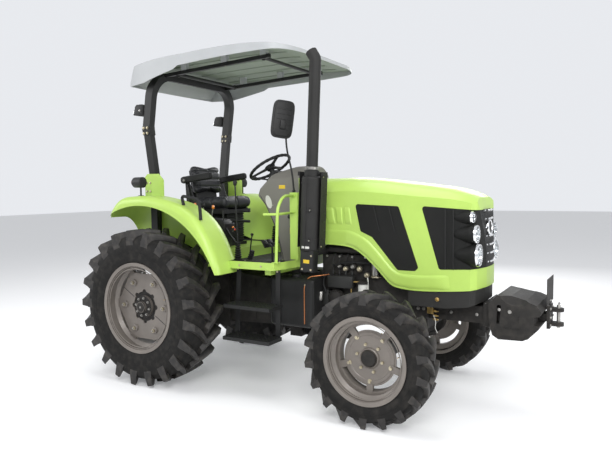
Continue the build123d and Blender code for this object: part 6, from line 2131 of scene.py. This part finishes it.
@dataclass(frozen=True)
class Studio:
    """Pale floor, backdrop, soft lights and the view transform."""

    fill: float = 0.46
    backdrop: float = 0.86
    sky: Colour = (0.94, 0.96, 1.0)
    floor: Colour = (0.86, 0.86, 0.86)
    floor_lift: float = 0.2
    floor_half: float = 40.0

    def build(self) -> None:
        """Sets the view transform, the world, the floor and the lamps."""
        scene = bpy.context.scene
        scene.view_settings.view_transform = "Standard"
        scene.view_settings.look = "None"
        world = bpy.data.worlds.new("studio")
        world.use_nodes = True
        ground = world.node_tree.nodes["Background"]
        ground.inputs["Color"].default_value = (*self.sky, 1)
        self._seen(world.node_tree, self.fill, self.backdrop, ground.inputs["Strength"])
        scene.world = world
        self._floor()
        for lamp in LIGHTS:
            self._light(lamp)

    def _floor(self) -> None:
        """A wide plain floor that keeps the tractor's shadow."""
        mesh = bpy.data.meshes.new("floor")
        half = self.floor_half
        mesh.from_pydata([(-half, -half, 0), (half, -half, 0), (half, half, 0), (-half, half, 0)], [],
            [(0, 1, 2, 3)])
        mat = bpy.data.materials.new("floor")
        mat.use_nodes = True
        shader = mat.node_tree.nodes["Principled BSDF"]
        shader.inputs["Base Color"].default_value = (*self.floor, 1)
        shader.inputs["Roughness"].default_value = 0.85
        shader.inputs["Specular IOR Level"].default_value = 0.1
        shader.inputs["Emission Color"].default_value = (0.95, 0.97, 1.0, 1)
        self._seen(mat.node_tree, 0.0, self.floor_lift, shader.inputs["Emission Strength"])
        mesh.materials.append(mat)
        link("floor", mesh)

    @staticmethod
    def _seen(tree: bpy.types.NodeTree, low: float, high: float, socket: bpy.types.NodeSocket) -> None:
        """Gives a socket one strength for light, another for what is seen, mirrored or seen through.

        Args:
            tree: The node tree that holds the socket.
            low: The strength for every other ray.
            high: The strength for camera, glossy and transmission rays.
            socket: The strength input that is fed.
        """
        path = tree.nodes.new("ShaderNodeLightPath")
        level = tree.nodes.new("ShaderNodeMapRange")
        level.inputs["To Min"].default_value = low
        level.inputs["To Max"].default_value = high
        flag = path.outputs["Is Camera Ray"]
        for ray in ("Is Glossy Ray", "Is Transmission Ray"):
            either = tree.nodes.new("ShaderNodeMath")
            either.operation = "MAXIMUM"
            tree.links.new(flag, either.inputs[0])
            tree.links.new(path.outputs[ray], either.inputs[1])
            flag = either.outputs[0]
        tree.links.new(flag, level.inputs["Value"])
        tree.links.new(level.outputs["Result"], socket)

    @staticmethod
    def _light(lamp: AreaLight) -> None:
        """Adds one lamp, turned to its target."""
        data = bpy.data.lights.new(lamp.name, "AREA")
        data.shape = "RECTANGLE"
        data.size, data.size_y = lamp.width, lamp.depth
        data.energy = lamp.power
        away = Vector(lamp.spot) - Vector(lamp.target)
        link(lamp.name, data).matrix_world = (Matrix.Translation(lamp.spot) @ away.to_track_quat("Z",
            "Y").to_matrix().to_4x4())


SLOT_FINISHES: Dict[str, Finish] = {
    "green_paint": GREEN, "frame_paint": FRAME, "casting_paint": CASTING, "tyre": TYRE, "rim_paint": RIM,
    "steel": STEEL, "skirt_paint": SKIRT, "black_plastic": BLACK, "grille_plastic": GRILLE,
    "cowl_plastic": COWL, "canopy_plastic": CANOPY, "lamp_glass": LENS, "seat_vinyl": VINYL,
    "exhaust_paint": EXHAUST}


@dataclass(frozen=True)
class Dresser:
    """Gives every carried-over CAD node the finish of its material slot."""

    nodes: Dict[str, bpy.types.Object]
    rows: Sequence[Dict[str, Any]]

    def build(self) -> None:
        """Sets one material on each node."""
        slots = {row["node"]: row["material_slot"] for row in self.rows}
        for name, obj in self.nodes.items():
            obj.data.materials.clear()
            obj.data.materials.append(PAINTS.get(SLOT_FINISHES[slots[name]]))


def main() -> None:
    """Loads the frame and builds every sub-assembly in order."""
    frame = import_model()
    nodes = frame["nodes"]
    for part in (Camera(), Studio(), Dresser(nodes, frame["record"]["subparts"]), Wheels(), Nose(), Seat(),
            Station(), EngineBay(), ExhaustDress(), HoodTrim(nodes), Roof(nodes["canopy"]), Chassis()):
        part.build()
        LOG.info("built %s", type(part).__name__)


if __name__ == "__main__":
    main()
